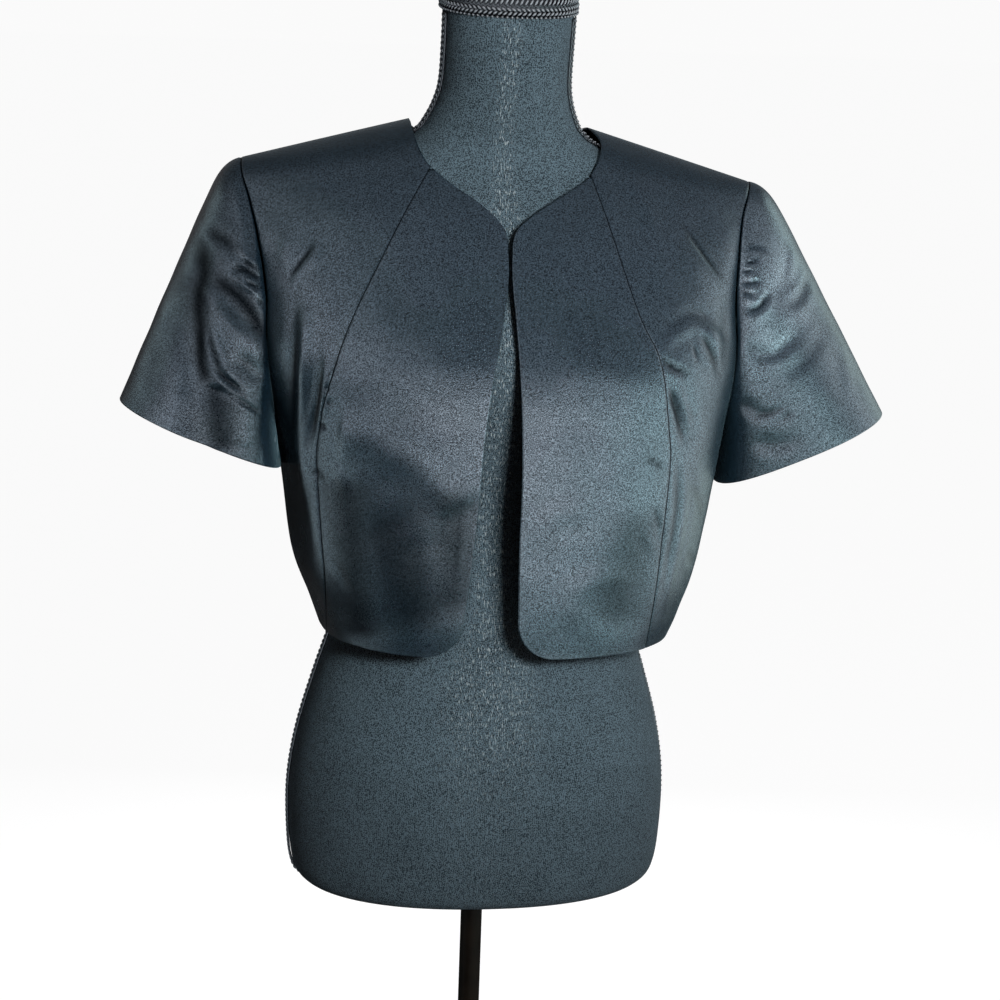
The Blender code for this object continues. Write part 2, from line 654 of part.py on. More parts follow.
def side_braid_angle(side, place):
    """Angle of a side braid's middle, which turns to the front on its way up the neck."""
    share = min(max((place - BRAID_TURN_START) / (BRAID_TURN_END - BRAID_TURN_START), 0.0), 1.0)
    forward = BRAID_FORWARD[side] * share * share * (3.0 - 2.0 * share)
    return forward if side == LEFT else math.pi - forward


def side_braid_mesh(name, side):
    """Strip of gimp braid from under the neck band, over the shoulder and down the side to the bottom."""
    sections = []
    for place in torso_places()[1:-2] + [NECK_BAND_FOOT]:
        angle = side_braid_angle(side, place)
        out = torso_normal(angle, place)
        around = torso_point(angle + BRAID_STEP, place) - torso_point(angle - BRAID_STEP, place)
        around /= np.linalg.norm(around)
        sections.append([torso_point(angle, place) + out * (SEAM + BRAID_THICKNESS * point.lift)
                         + around * SIDE_BRAID_WIDTH * point.across for point in SIDE_BRAID])
    last = np.array(sections[-1])
    run = last - np.array(sections[-2])
    length = np.linalg.norm(run.mean(axis=0))
    sections[-1] = last - run * ((2.0 * SEAM + SIDE_BRAID_WIDTH * math.tan(NECK_SLANT)) / length)
    return strip_mesh(name, sections, False)


def add_cylinder(name, radius, low, high, material, collection, parent):
    """Upright cylinder on the pole's axis."""
    shape = bmesh.new()
    bmesh.ops.create_cone(shape, cap_ends=True, segments=POLE_SIDES, radius1=radius, radius2=radius,
                          depth=high - low)
    mesh = finish_mesh(name, shape)
    thing = add_object(name, mesh, material, collection, parent)
    thing.location = (0.0, 0.0, (low + high) / 2.0)
    return thing


def add_base(material, collection, parent):
    """Round base plate with a low dome and a socket for the pole, turned from a profile."""
    socket = POLE_RADIUS + SEAM
    profile = [(0.0, SOCKET_FLOOR), (socket, SOCKET_FLOOR), (socket, COLLAR_TOP),
               (COLLAR_RADIUS - BASE_ROUND, COLLAR_TOP), (COLLAR_RADIUS, COLLAR_TOP - BASE_ROUND)]
    for k in range(DOME_STEPS + 1):
        share = k / DOME_STEPS
        radius = COLLAR_RADIUS + (BASE_RADIUS - BASE_ROUND - COLLAR_RADIUS) * share
        profile.append((radius, BASE_EDGE + BASE_DOME * (1.0 - share) ** 2))
    profile += [(BASE_RADIUS, BASE_EDGE - BASE_ROUND), (BASE_RADIUS, 0.0), (0.0, 0.0)]
    mesh = bpy.data.meshes.new("base")
    edges = [(k, k + 1) for k in range(len(profile) - 1)]
    mesh.from_pydata([(radius, 0.0, z) for radius, z in profile], edges, [])
    base = bpy.data.objects.new("base", mesh)
    mesh.materials.append(material)
    collection.objects.link(base)
    base.parent = parent
    turn = base.modifiers.new("turned", "SCREW")
    turn.axis = "Z"
    turn.steps = BASE_SIDES
    turn.render_steps = BASE_SIDES
    turn.use_merge_vertices = True
    turn.merge_threshold = 0.0001
    turn.use_smooth_shade = True
    return base


def add_empty(name, collection, parent=None):
    """Empty that carries a group of pieces."""
    empty = bpy.data.objects.new(name, None)
    empty.parent = parent
    collection.objects.link(empty)
    return empty


def build_jacket(collection, parent):
    """Front, back and sleeve walls of the jacket."""
    satin = make_material("charcoal_satin", SATIN)
    for side, word in ((RIGHT, "right"), (LEFT, "left")):
        front = FrontSide(side)
        pieces = (("front_centre_" + word, *grid_of(front.centre_rows()), False),
                  ("front_side_" + word, *grid_of(front.side_rows()), False),
                  ("sleeve_" + word, *sleeve_grids(front), True))
        for name, outer, inner, closed in pieces:
            add_object(name, wall_mesh(name, outer, inner, closed), satin, collection, parent)
    add_object("back", wall_mesh("back", *grid_of(back_rows()), False), satin, collection, parent)


def build_form(collection, cutters, parent):
    """Dress form with its braids, pole and base."""
    jersey = make_material("black_jersey", JERSEY)
    gimp = make_material("gimp_braid", GIMP)
    steel = make_material("painted_steel", PAINTED_STEEL)
    torso = add_object("form_torso", torso_mesh(), jersey, collection, parent)
    pole_top = TORSO_BOTTOM + POLE_IN_TORSO
    bore = add_cylinder("pole_bore", POLE_RADIUS + SEAM, TORSO_BOTTOM - BORE_PAST_END, pole_top + SEAM,
                        jersey, cutters, parent)
    bore.hide_render = True
    bore.display_type = "WIRE"
    cut = torso.modifiers.new("pole_bore", "BOOLEAN")
    cut.operation = "DIFFERENCE"
    cut.object = bore
    add_object("neck_braid", neck_braid_mesh(), gimp, collection, parent)
    for side, word in ((RIGHT, "right"), (LEFT, "left")):
        name = "side_braid_" + word
        add_object(name, side_braid_mesh(name, side), gimp, collection, parent)
    add_cylinder("pole", POLE_RADIUS, SOCKET_FLOOR + SEAM, pole_top, steel, collection, parent)
    add_base(steel, collection, parent)


def main():
    """Build the jacket and the form that carries it."""
    collection, cutters = start_scene()
    root = add_empty("cropped_blazer_on_form", collection)
    build_jacket(collection, add_empty("jacket", collection, root))
    build_form(collection, cutters, add_empty("dress_form", collection, root))


main()
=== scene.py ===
"""Looks of a cropped satin blazer that is worn by a limbless dress form on a pole and a round base.

The jacket's panels and sleeves are drawn again on the sections of the solids, finer, with rounded free
edges, rolled seams and creases. The dress form gets a knitted cover and plaited braids. Points of the
necklines, the front edges and the creases in front were picked over the photograph, and turned into
metres outside this script.
Units are metres, +Z is up, the front faces -Y and the wearer's right side is at -X.
"""
import logging
import math
from dataclasses import dataclass, field
from enum import Enum
from typing import NamedTuple, Sequence

import bmesh
import bpy
import numpy as np
from bpy.types import Material, Mesh, Node, NodeSocket, NodeTree, Object
from mathutils import Matrix, Vector


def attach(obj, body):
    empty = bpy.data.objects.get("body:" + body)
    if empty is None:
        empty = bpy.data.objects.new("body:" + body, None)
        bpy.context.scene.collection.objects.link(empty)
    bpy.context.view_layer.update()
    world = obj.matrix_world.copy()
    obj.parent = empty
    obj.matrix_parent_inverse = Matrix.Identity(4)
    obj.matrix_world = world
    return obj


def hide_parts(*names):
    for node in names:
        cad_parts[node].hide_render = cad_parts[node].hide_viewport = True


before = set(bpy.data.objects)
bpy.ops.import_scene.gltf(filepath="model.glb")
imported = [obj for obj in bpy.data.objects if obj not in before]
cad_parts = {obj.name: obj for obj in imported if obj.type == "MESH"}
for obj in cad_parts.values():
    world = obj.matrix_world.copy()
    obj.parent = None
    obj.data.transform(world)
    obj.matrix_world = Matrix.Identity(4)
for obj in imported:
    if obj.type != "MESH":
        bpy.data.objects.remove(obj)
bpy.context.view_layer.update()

LOG = logging.getLogger("cropped_blazer")
BODY_NAME = "root"
CUT_MAP = "cut"
# Mesh attribute of painted shade: it darkens the satin's colour and gloss in creases and along seams; below 0
# it adds painted shine.
SHADE = "shade"
RIGHT_ANGLE = math.pi / 2.0
Array = np.ndarray
Input = NodeSocket | float | tuple
GroupStart = tuple[NodeTree, "NodeBench", Node, Node]


class Side(Enum):
    """Side of the wearer, as the sign of X."""

    RIGHT = -1
    LEFT = 1

    @property
    def word(self) -> str:
        """Name of the side in the names of pieces."""
        return self.name.lower()


class Face(Enum):
    """Front or back of the jacket, as the sign of Y."""

    FRONT = -1
    BACK = 1


class BodySection(NamedTuple):
    """Level section of the jacket: reaches, depths, rise of the neck and tilt to the left."""

    z: float
    reach_right: float
    reach_left: float
    front: float
    back: float
    rise: float
    tilt: float


class EdgePoint(NamedTuple):
    """Point of an edge or a seam, seen from the front."""

    z: float
    x: float


class SleeveHem(NamedTuple):
    """Ring of a sleeve's hem: its centre, half width, half depth and the rise of its outer edge."""

    x: float
    y: float
    z: float
    half_width: float
    half_depth: float
    lift: float


class SleeveLight(NamedTuple):
    """Light painted on a sleeve: shade on its inside, and shine on its head and its turned edge."""

    shade: float
    head: float
    edge: float


class TorsoSection(NamedTuple):
    """Level section of the dress form."""

    z: float
    half_width: float
    front: float
    back: float
    centre: float


@dataclass(frozen=True)
class Crease:
    """Crease seen from the front or the back, through a few points; a trough's height is negative.

    A trough gets painted shade by its slope, and shading multiplies that where the photograph is darker.
    """

    points: tuple[tuple[float, float], ...]
    half_width: float
    height: float
    taper: float = 0.35
    flank: float = 0.28
    shading: float = 1.0
    full_slope: float = 0.55
    flank_place: float = 2.0

    @property
    def shade(self) -> float:
        """How much painted shade the middle of a trough gets, from 0 to 1; steep ones get more."""
        return min(max(-self.shading * self.height / self.half_width / self.full_slope, 0.0), 1.0)

    def path(self, steps: int = 5) -> Array:
        """Points of the crease's smooth line.

        Args:
            steps: number of steps between two given points.

        Returns:
            Array of (x, z) rows.
        """
        table = np.array(self.points)
        return smooth_rows(table, np.linspace(0.0, len(table) - 1.0, (len(table) - 1) * steps + 1))


def fold(points: tuple[tuple[float, float], ...], half_width: float, height: float) -> Crease:
    """One of the largest folds, wide and soft, with little painted shade."""
    return Crease(points, half_width, height, taper=0.4, flank=0.0, shading=0.35)


def edge_line(*points: tuple[float, float]) -> tuple[EdgePoint, ...]:
    """Edge through points of (z, x)."""
    return tuple(EdgePoint(*point) for point in points)


BODY = tuple(BodySection(*row) for row in (
    (0.9455, 0.1420, 0.1600, 0.128, 0.088, 0.000, 0.012),
    (0.970, 0.1510, 0.1700, 0.131, 0.090, 0.000, 0.012),
    (1.010, 0.1660, 0.1825, 0.134, 0.093, 0.000, 0.012),
    (1.077, 0.1755, 0.1935, 0.137, 0.098, 0.000, 0.012),
    (1.130, 0.1860, 0.2010, 0.138, 0.102, 0.000, 0.013),
    (1.187, 0.2007, 0.2096, 0.136, 0.107, 0.000, 0.015),
    (1.235, 0.2080, 0.2112, 0.1215, 0.106, 0.008, 0.017),
    (1.275, 0.2197, 0.2180, 0.099, 0.098, 0.024, 0.019),
    (1.305, 0.2307, 0.2274, 0.070, 0.080, 0.041, 0.020),
    (1.325, 0.2393, 0.2382, 0.041, 0.050, 0.053, 0.021),
    (1.335, 0.2402, 0.2458, 0.000, 0.000, 0.0595, 0.0213),
))
FRONT_EDGE = {
    Side.RIGHT: edge_line((1.2834, -0.0041), (1.2562, -0.0044), (1.2180, -0.0098), (1.1738, -0.0170),
                          (1.1228, -0.0226), (1.0677, -0.0255), (1.0116, -0.0300), (0.944, -0.0363)),
    Side.LEFT: edge_line((1.2834, -0.0007), (1.2562, -0.0015), (1.2181, 0.0015), (1.1872, 0.0040),
                         (1.1449, 0.0068), (1.0952, 0.0087), (1.0394, 0.0088), (0.9833, 0.0105),
                         (0.944, 0.0125)),
}
NECKLINE = {
    Side.RIGHT: edge_line((1.3760, -0.0742), (1.3669, -0.0742), (1.3574, -0.0721), (1.3501, -0.0692),
                          (1.3416, -0.0634), (1.3273, -0.0462), (1.3178, -0.0310), (1.3093, -0.0195),
                          (1.3008, -0.0107), (1.2933, -0.0058), (1.2834, -0.0041)),
    Side.LEFT: edge_line((1.3720, 0.0765), (1.3613, 0.0822), (1.3505, 0.0778), (1.3404, 0.0714),
                         (1.3316, 0.0626), (1.3203, 0.0423), (1.3088, 0.0221), (1.2999, 0.0094),
                         (1.2923, 0.0023), (1.2834, -0.0007)),
}
PRINCESS_SEAM = {
    Side.RIGHT: edge_line((1.341, -0.0630), (1.289, -0.0946), (1.209, -0.1333), (1.129, -0.1520),
                          (1.073, -0.1504), (0.944, -0.1380)),
    Side.LEFT: edge_line((1.337, 0.0682), (1.236, 0.1005), (1.192, 0.1215), (1.136, 0.1320), (1.090, 0.1350),
                         (0.944, 0.1270)),
}
SLEEVE_HEM = {
    Side.RIGHT: SleeveHem(-0.2433, 0.002, 1.1110, 0.0722, 0.066, math.radians(20.9)),
    Side.LEFT: SleeveHem(0.2735, 0.002, 1.1010, 0.0808, 0.054, math.radians(21.9)),
}
SLEEVE_LIGHT = {Side.RIGHT: SleeveLight(0.38, -0.2, 12.0), Side.LEFT: SleeveLight(0.2, 1.4, 0.0)}
TORSO = tuple(TorsoSection(*row) for row in (
    (0.7140, 0.1440, 0.0920, 0.1020, 0.000),
    (0.7175, 0.1530, 0.1000, 0.1095, 0.000),
    (0.7270, 0.1600, 0.1055, 0.1150, 0.000),
    (0.7520, 0.1640, 0.1085, 0.1185, 0.000),
    (0.8020, 0.1650, 0.1100, 0.1200, 0.000),
    (0.8500, 0.1580, 0.1065, 0.1150, 0.000),
    (0.9000, 0.1440, 0.0995, 0.1040, 0.000),
    (0.9500, 0.1280, 0.0915, 0.0800, 0.000),
    (1.0000, 0.1165, 0.0860, 0.0770, 0.000),
    (1.0450, 0.1130, 0.0840, 0.0760, 0.000),
    (1.0900, 0.1200, 0.0920, 0.0810, 0.000),
    (1.1400, 0.1340, 0.1100, 0.0890, 0.000),
    (1.1870, 0.1440, 0.1240, 0.0950, 0.000),
    (1.2250, 0.1520, 0.1150, 0.0970, 0.000),
    (1.2600, 0.1610, 0.1000, 0.0930, 0.000),
    (1.2900, 0.1640, 0.0890, 0.0860, -0.001),
    (1.3140, 0.1570, 0.0765, 0.0780, -0.001),
    (1.3300, 0.1380, 0.0665, 0.0720, -0.002),
    (1.3450, 0.1110, 0.0595, 0.0660, -0.003),
    (1.3575, 0.0835, 0.0550, 0.0600, -0.004),
    (1.3677, 0.0697, 0.0540, 0.0560, -0.008),
    (1.3756, 0.0640, 0.0535, 0.0540, -0.012),
    (1.3900, 0.0575, 0.0515, 0.0525, -0.019),
    (1.4080, 0.0535, 0.0505, 0.0515, -0.026),
    (1.4420, 0.0530, 0.0505, 0.0510, -0.034),
    (1.4820, 0.0535, 0.0510, 0.0510, -0.040),
))

BRAID_FORWARD = {Side.RIGHT: math.radians(11.0), Side.LEFT: math.radians(22.0)}

# Creases of the fronts: first the largest folds, then the smaller ones, made outside this script
FRONT_CREASES = (
    fold(((-0.1760, 1.2400), (-0.1765, 1.0950), (-0.1520, 0.9500)), 0.0085, -0.0036),
    fold(((-0.1560, 1.1990), (-0.1625, 1.0950)), 0.006, -0.0014),
    fold(((0.1420, 1.3060), (0.1680, 1.2780), (0.1930, 1.2490)), 0.011, -0.0014),
    fold(((0.1600, 1.2260), (0.1740, 1.2030), (0.1860, 1.1800)), 0.011, 0.0026),
    fold(((0.1310, 1.1800), (0.1440, 1.1470), (0.1570, 1.1150)), 0.009, -0.0026),
    Crease(((-0.1553, 1.2866), (-0.1600, 1.2741), (-0.1678, 1.2627), (-0.1738, 1.2536),
            (-0.1798, 1.2425)), 0.0019, -0.0011),
    Crease(((-0.1507, 1.2816), (-0.1570, 1.2674), (-0.1647, 1.2560)), 0.0034, 0.0008),
    Crease(((-0.1638, 1.2450), (-0.1636, 1.2260), (-0.1642, 1.2068), (-0.1651, 1.1771),
            (-0.1647, 1.1428), (-0.1632, 1.1068), (-0.1605, 1.0805), (-0.1570, 1.0559),
            (-0.1525, 1.0283)), 0.0047, 0.0026),
    Crease(((-0.1721, 1.2409), (-0.1718, 1.2169), (-0.1731, 1.1926), (-0.1739, 1.1671),
            (-0.1740, 1.1312), (-0.1717, 1.0985), (-0.1683, 1.0593), (-0.1622, 1.0217)), 0.0039, -0.0012),
    Crease(((-0.1515, 1.2009), (-0.1524, 1.1716), (-0.1541, 1.1528), (-0.1570, 1.1312),
            (-0.1602, 1.1051)), 0.0019, -0.0011),
    Crease(((-0.1469, 1.1968), (-0.1480, 1.1724), (-0.1497, 1.1522), (-0.1521, 1.1331)), 0.0030, 0.0009),
    Crease(((-0.1572, 1.0965), (-0.1517, 1.0930), (-0.1435, 1.0800)), 0.0022, -0.0010),
    Crease(((-0.1557, 1.1109), (-0.1541, 1.0770), (-0.1523, 1.0422), (-0.1487, 1.0065)), 0.0043, 0.0012),
    Crease(((-0.1501, 1.1671), (-0.1432, 1.1640)), 0.0021, -0.0008),
    Crease(((-0.1476, 1.1560), (-0.1406, 1.1534)), 0.0021, -0.0007),
    Crease(((-0.1529, 1.1346), (-0.1452, 1.1324)), 0.0021, -0.0008),
    Crease(((-0.1753, 1.2891), (-0.1785, 1.2719), (-0.1807, 1.2560)), 0.0052, 0.0010),
    Crease(((-0.1393, 1.1289), (-0.1264, 1.1289), (-0.1111, 1.1288), (-0.0924, 1.1221),
            (-0.0734, 1.1109), (-0.0531, 1.0928),
            (-0.0364, 1.0700)), 0.0190, 0.0025, taper=0.1, flank=0.0),
    # Broad, shallow hollows with large shading: painted shade low on the right centre front.
    Crease(((-0.1099, 1.0859), (-0.0931, 1.0415), (-0.0759, 0.9961),
            (-0.0635, 0.9621)), 0.0293, -0.0010, taper=0.25, flank=0.0, shading=11.0),
    Crease(((-0.0423, 1.1012), (-0.0425, 1.0399),
            (-0.0479, 0.9716)), 0.0207, -0.0005, taper=0.2, flank=0.0, shading=15.0),
    Crease(((-0.1317, 1.0998), (-0.1265, 1.0499), (-0.1199, 0.9899),
            (-0.1111, 0.9499)), 0.0190, -0.0005, taper=0.12, flank=0.0, shading=17.0),
    Crease(((-0.0369, 1.1063), (-0.0368, 1.0816), (-0.0388, 1.0483), (-0.0408, 1.0147),
            (-0.0451, 0.9804)), 0.0014, 0.0007, flank=0.0),
    Crease(((-0.1417, 1.1049), (-0.1345, 1.0943), (-0.1294, 1.0749)), 0.0034, 0.0008),
    Crease(((-0.1400, 1.0240), (-0.1329, 1.0120), (-0.1255, 0.9959)), 0.0030, -0.0008),
    Crease(((-0.1380, 1.0562), (-0.1325, 1.0470)), 0.0026, -0.0006),
    Crease(((-0.0865, 1.0294), (-0.0673, 1.0432), (-0.0436, 1.0482)), 0.0078, -0.0005),
    Crease(((-0.1063, 1.2382), (-0.0831, 1.2300), (-0.0517, 1.2340)), 0.0103, -0.0005),
    Crease(((0.0936, 1.3499), (0.1027, 1.3363), (0.1133, 1.3174), (0.1199, 1.2976),
            (0.1235, 1.2777)), 0.0086, 0.0010),
    Crease(((0.1399, 1.3064), (0.1515, 1.2907), (0.1628, 1.2764), (0.1749, 1.2616),
            (0.1875, 1.2460)), 0.0021, -0.0009),
    Crease(((0.1280, 1.2975), (0.1479, 1.2740), (0.1678, 1.2481)), 0.0078, 0.0004),
    Crease(((0.1164, 1.1970), (0.1314, 1.2114), (0.1515, 1.2192), (0.1709, 1.2099),
            (0.1893, 1.1894)), 0.0047, 0.0012),
    Crease(((0.1206, 1.2111), (0.1351, 1.2223), (0.1517, 1.2286), (0.1697, 1.2205),
            (0.1894, 1.2023)), 0.0043, -0.0007),
    Crease(((0.1572, 1.2141), (0.1640, 1.2040), (0.1714, 1.1904), (0.1826, 1.1683)), 0.0029, -0.0014),
    Crease(((0.1499, 1.2049), (0.1568, 1.1900)), 0.0019, -0.0008),
    Crease(((0.1206, 1.1937), (0.1345, 1.1866), (0.1498, 1.1782)), 0.0024, -0.0016),
    Crease(((0.1267, 1.1773), (0.1352, 1.1601), (0.1422, 1.1427), (0.1488, 1.1169)), 0.0026, -0.0018),
    Crease(((0.1341, 1.1783), (0.1426, 1.1612), (0.1497, 1.1438), (0.1564, 1.1242)), 0.0034, 0.0012),
    Crease(((0.1466, 1.1205), (0.1506, 1.0912), (0.1521, 1.0649), (0.1484, 1.0286), (0.1430, 0.9862),
            (0.1429, 0.9463)), 0.0034, 0.0008),
    Crease(((0.1400, 1.1163), (0.1435, 1.0923), (0.1447, 1.0663), (0.1410, 1.0302),
            (0.1359, 0.9917)), 0.0026, -0.0009),
    Crease(((0.1558, 1.0904), (0.1682, 1.0700), (0.1781, 1.0461)), 0.0029, -0.0009),
    Crease(((0.1584, 1.0280), (0.1726, 1.0074)), 0.0026, -0.0008),
    Crease(((0.1803, 1.2374), (0.1819, 1.2053), (0.1797, 1.1723)), 0.0052, -0.0008),
    Crease(((0.0463, 0.9659), (0.0696, 1.0048), (0.0917, 1.0419),
            (0.1138, 1.0742)), 0.0190, 0.0014, taper=0.2, flank=0.0),
    # Broad, shallow hollow with large shading: painted shade low on the left centre front.
    Crease(((0.1089, 1.0789), (0.1021, 1.0196),
            (0.0883, 0.9639)), 0.0259, -0.0006, taper=0.2, flank=0.0, shading=13.0),
    Crease(((0.1093, 1.1166), (0.1214, 1.1091), (0.1302, 1.1024)), 0.0022, -0.0009),
    Crease(((0.1105, 1.0558), (0.1205, 1.0436), (0.1303, 1.0284)), 0.0043, 0.0010),
    Crease(((0.1193, 1.0729), (0.1268, 1.0601), (0.1308, 1.0458)), 0.0024, -0.0010),
    Crease(((0.0443, 1.0007), (0.0820, 1.0143), (0.1189, 1.0055)), 0.0086, 0.0008),
    Crease(((0.0208, 1.0586), (0.0449, 1.0716), (0.0745, 1.0691)), 0.0086, 0.0007),
    Crease(((0.0726, 1.1059), (0.0947, 1.0950), (0.1162, 1.0783)), 0.0078, 0.0006),
    Crease(((0.0265, 1.2183), (0.0610, 1.2276), (0.0903, 1.2181)), 0.0103, -0.0005),
)
BACK_CREASES = (
    Crease(((-0.1850, 1.1900), (-0.1500, 1.2150), (-0.1150, 1.2250)), 0.0100, -0.0022),
    Crease(((0.1900, 1.1950), (0.1560, 1.2180), (0.1220, 1.2260)), 0.0100, -0.0022),
    Crease(((-0.1600, 1.1500), (-0.1560, 1.0700), (-0.1380, 0.9800)), 0.0080, -0.0020),
    Crease(((0.1660, 1.1550), (0.1640, 1.0750), (0.1480, 0.9850)), 0.0080, -0.0020),
    Crease(((-0.1350, 1.2700), (-0.1520, 1.2350), (-0.1580, 1.2000)), 0.0050, -0.0010),
    Crease(((0.1380, 1.2680), (0.1540, 1.2340), (0.1600, 1.1980)), 0.0050, -0.0010),
    Crease(((-0.0700, 1.0600), (-0.0250, 1.0500), (0.0300, 1.0540)), 0.0090, -0.0012),
    Crease(((-0.0300, 1.0150), (0.0250, 1.0080), (0.0750, 1.0150)), 0.0090, -0.0011),
    Crease(((-0.0450, 1.3200), (0.0000, 1.3130), (0.0480, 1.3190)), 0.0070, -0.0012),
)
SLEEVE_FOLDS = (
    fold(((-0.2570, 1.2755), (-0.2610, 1.2109), (-0.2421, 1.0997), (-0.2390, 1.0500)), 0.0135, -0.0046),
    fold(((-0.2415, 1.2439), (-0.1985, 1.1972)), 0.011, -0.0024),
    fold(((0.2161, 1.2297), (0.2553, 1.2608)), 0.011, -0.0013),
    fold(((0.2083, 1.2070), (0.2312, 1.1919), (0.2724, 1.2191)), 0.0115, -0.0013),
)
# Creases of the sleeves' fronts, made outside this script
SLEEVE_CREASES = (
    Crease(((-0.2207, 1.2481), (-0.2105, 1.2534), (-0.2025, 1.2496), (-0.1918, 1.2428)), 0.0029, -0.0020),
    Crease(((-0.2104, 1.2439), (-0.2033, 1.2417), (-0.1942, 1.2372)), 0.0019, -0.0013),
    Crease(((-0.2191, 1.2466), (-0.2080, 1.2407), (-0.1942, 1.2333)), 0.0022, 0.0008),
    # Shallow hollow with large shading: painted shade on the inside of the right sleeve.
    Crease(((-0.1973, 1.2189), (-0.1919, 1.1929),
            (-0.1923, 1.1656)), 0.0078, -0.0004, taper=0.3, flank=0.0, shading=8.0),
    Crease(((-0.2145, 1.2728), (-0.2065, 1.2646), (-0.1951, 1.2556)), 0.0030, 0.0010),
    Crease(((-0.2121, 1.2605), (-0.2049, 1.2575), (-0.1959, 1.2524)), 0.0019, -0.0010),
    Crease(((-0.2379, 1.2792), (-0.2285, 1.2772), (-0.2200, 1.2725),
            (-0.2121, 1.2605)), 0.0052, -0.0009, shading=2.6),
    Crease(((-0.2015, 1.2312), (-0.1941, 1.2252)), 0.0019, -0.0010),
    Crease(((-0.2356, 1.2498), (-0.2293, 1.2441), (-0.2222, 1.2375), (-0.2134, 1.2307),
            (-0.2070, 1.2230), (-0.2012, 1.2131), (-0.1954, 1.2000),
            (-0.1909, 1.1868)), 0.0073, -0.0010, taper=0.25, shading=5.0),
    Crease(((-0.2403, 1.2436), (-0.2332, 1.2286), (-0.2221, 1.2119), (-0.2059, 1.1935)), 0.0060, 0.0014),
    Crease(((-0.2433, 1.2776), (-0.2395, 1.2627), (-0.2387, 1.2454), (-0.2434, 1.2323),
            (-0.2450, 1.2197), (-0.2442, 1.2058), (-0.2450, 1.1913), (-0.2450, 1.1785),
            (-0.2417, 1.1658), (-0.2376, 1.1512)), 0.0069, -0.0016, taper=0.15, shading=3.0),
    Crease(((-0.2615, 1.2328), (-0.2640, 1.2090), (-0.2640, 1.1845), (-0.2632, 1.1547),
            (-0.2632, 1.1267)), 0.0069, 0.0012),
    Crease(((-0.2403, 1.2109), (-0.2371, 1.1969), (-0.2331, 1.1843), (-0.2298, 1.1746),
            (-0.2249, 1.1657)), 0.0024, -0.0014),
    Crease(((-0.2362, 1.1800), (-0.2282, 1.1689), (-0.2193, 1.1609), (-0.2087, 1.1534)), 0.0024, -0.0014),
    Crease(((-0.2417, 1.1609), (-0.2329, 1.1564), (-0.2232, 1.1526)), 0.0024, -0.0010),
    Crease(((-0.2224, 1.1551), (-0.2077, 1.1442), (-0.1952, 1.1357)), 0.0021, -0.0008),
    Crease(((-0.2353, 1.1613), (-0.2327, 1.1415), (-0.2302, 1.1217),
            (-0.2276, 1.1051)), 0.0095, -0.0016, taper=0.1, shading=2.4),
    Crease(((-0.2711, 1.2237), (-0.2719, 1.2109), (-0.2752, 1.1945)), 0.0022, 0.0008),
    Crease(((-0.2776, 1.1993), (-0.2841, 1.1664), (-0.2889, 1.1409)), 0.0078, -0.0012),
    Crease(((-0.2203, 1.1879), (-0.2074, 1.1766), (-0.1939, 1.1608)), 0.0069, -0.0014),
    Crease(((-0.2369, 1.3021), (-0.2355, 1.2826)), 0.0019, -0.0008),
    Crease(((0.2003, 1.2763), (0.2101, 1.2758), (0.2221, 1.2716)), 0.0020, -0.0010),
    Crease(((0.2014, 1.2652), (0.2071, 1.2654), (0.2143, 1.2662)), 0.0019, -0.0012),
    Crease(((0.1977, 1.2583), (0.2088, 1.2589)), 0.0017, -0.0008),
    Crease(((0.1971, 1.2485), (0.2057, 1.2490), (0.2164, 1.2498)), 0.0021, -0.0013),
    Crease(((0.1972, 1.2428), (0.2043, 1.2407), (0.2114, 1.2382)), 0.0019, -0.0010),
    Crease(((0.1984, 1.2312), (0.2077, 1.2274), (0.2149, 1.2289), (0.2200, 1.2355),
            (0.2252, 1.2421)), 0.0029, -0.0017),
    Crease(((0.2302, 1.2304), (0.2459, 1.2305), (0.2552, 1.2365), (0.2615, 1.2464),
            (0.2670, 1.2552)), 0.0047, -0.0013),
    Crease(((0.2425, 1.2880), (0.2456, 1.2709), (0.2437, 1.2549), (0.2393, 1.2421)), 0.0043, 0.0009),
    Crease(((0.2022, 1.2054), (0.2105, 1.1962), (0.2207, 1.1894), (0.2334, 1.1911), (0.2447, 1.1999),
            (0.2585, 1.2074)), 0.0043, -0.0008),
    Crease(((0.2269, 1.1653), (0.2475, 1.1755), (0.2621, 1.1860), (0.2723, 1.1985),
            (0.2807, 1.2124)), 0.0060, -0.0006),
    Crease(((0.2195, 1.1392), (0.2305, 1.1395), (0.2435, 1.1429)), 0.0022, -0.0010),
    Crease(((0.2429, 1.1394), (0.2557, 1.1359)), 0.0019, -0.0007),
    Crease(((0.2055, 1.1515), (0.2166, 1.1435), (0.2328, 1.1333)), 0.0052, -0.0010),
    Crease(((0.2160, 1.1168), (0.2392, 1.1122), (0.2655, 1.1148)), 0.0069, -0.0012),
    Crease(((0.2956, 1.1885), (0.3033, 1.1682), (0.3090, 1.1497)), 0.0052, 0.0008),
)
SLEEVE_BACK_CREASES = (
    Crease(((-0.1960, 1.2700), (-0.2180, 1.2650)), 0.0032, -0.0010),
    Crease(((-0.1940, 1.2480), (-0.2200, 1.2350)), 0.0035, -0.0012),
    Crease(((-0.1930, 1.2240), (-0.2230, 1.1980)), 0.0080, -0.0028),
    Crease(((-0.2500, 1.2600), (-0.2560, 1.1900), (-0.2480, 1.1200)), 0.0110, -0.0030),
    Crease(((0.2010, 1.2720), (0.2220, 1.2690)), 0.0032, -0.0010),
    Crease(((0.2000, 1.2500), (0.2260, 1.2400)), 0.0035, -0.0012),
    Crease(((0.2020, 1.2200), (0.2380, 1.2020)), 0.0080, -0.0028),
    Crease(((0.2700, 1.2500), (0.2800, 1.1850), (0.2760, 1.1150)), 0.0110, -0.0030),
)


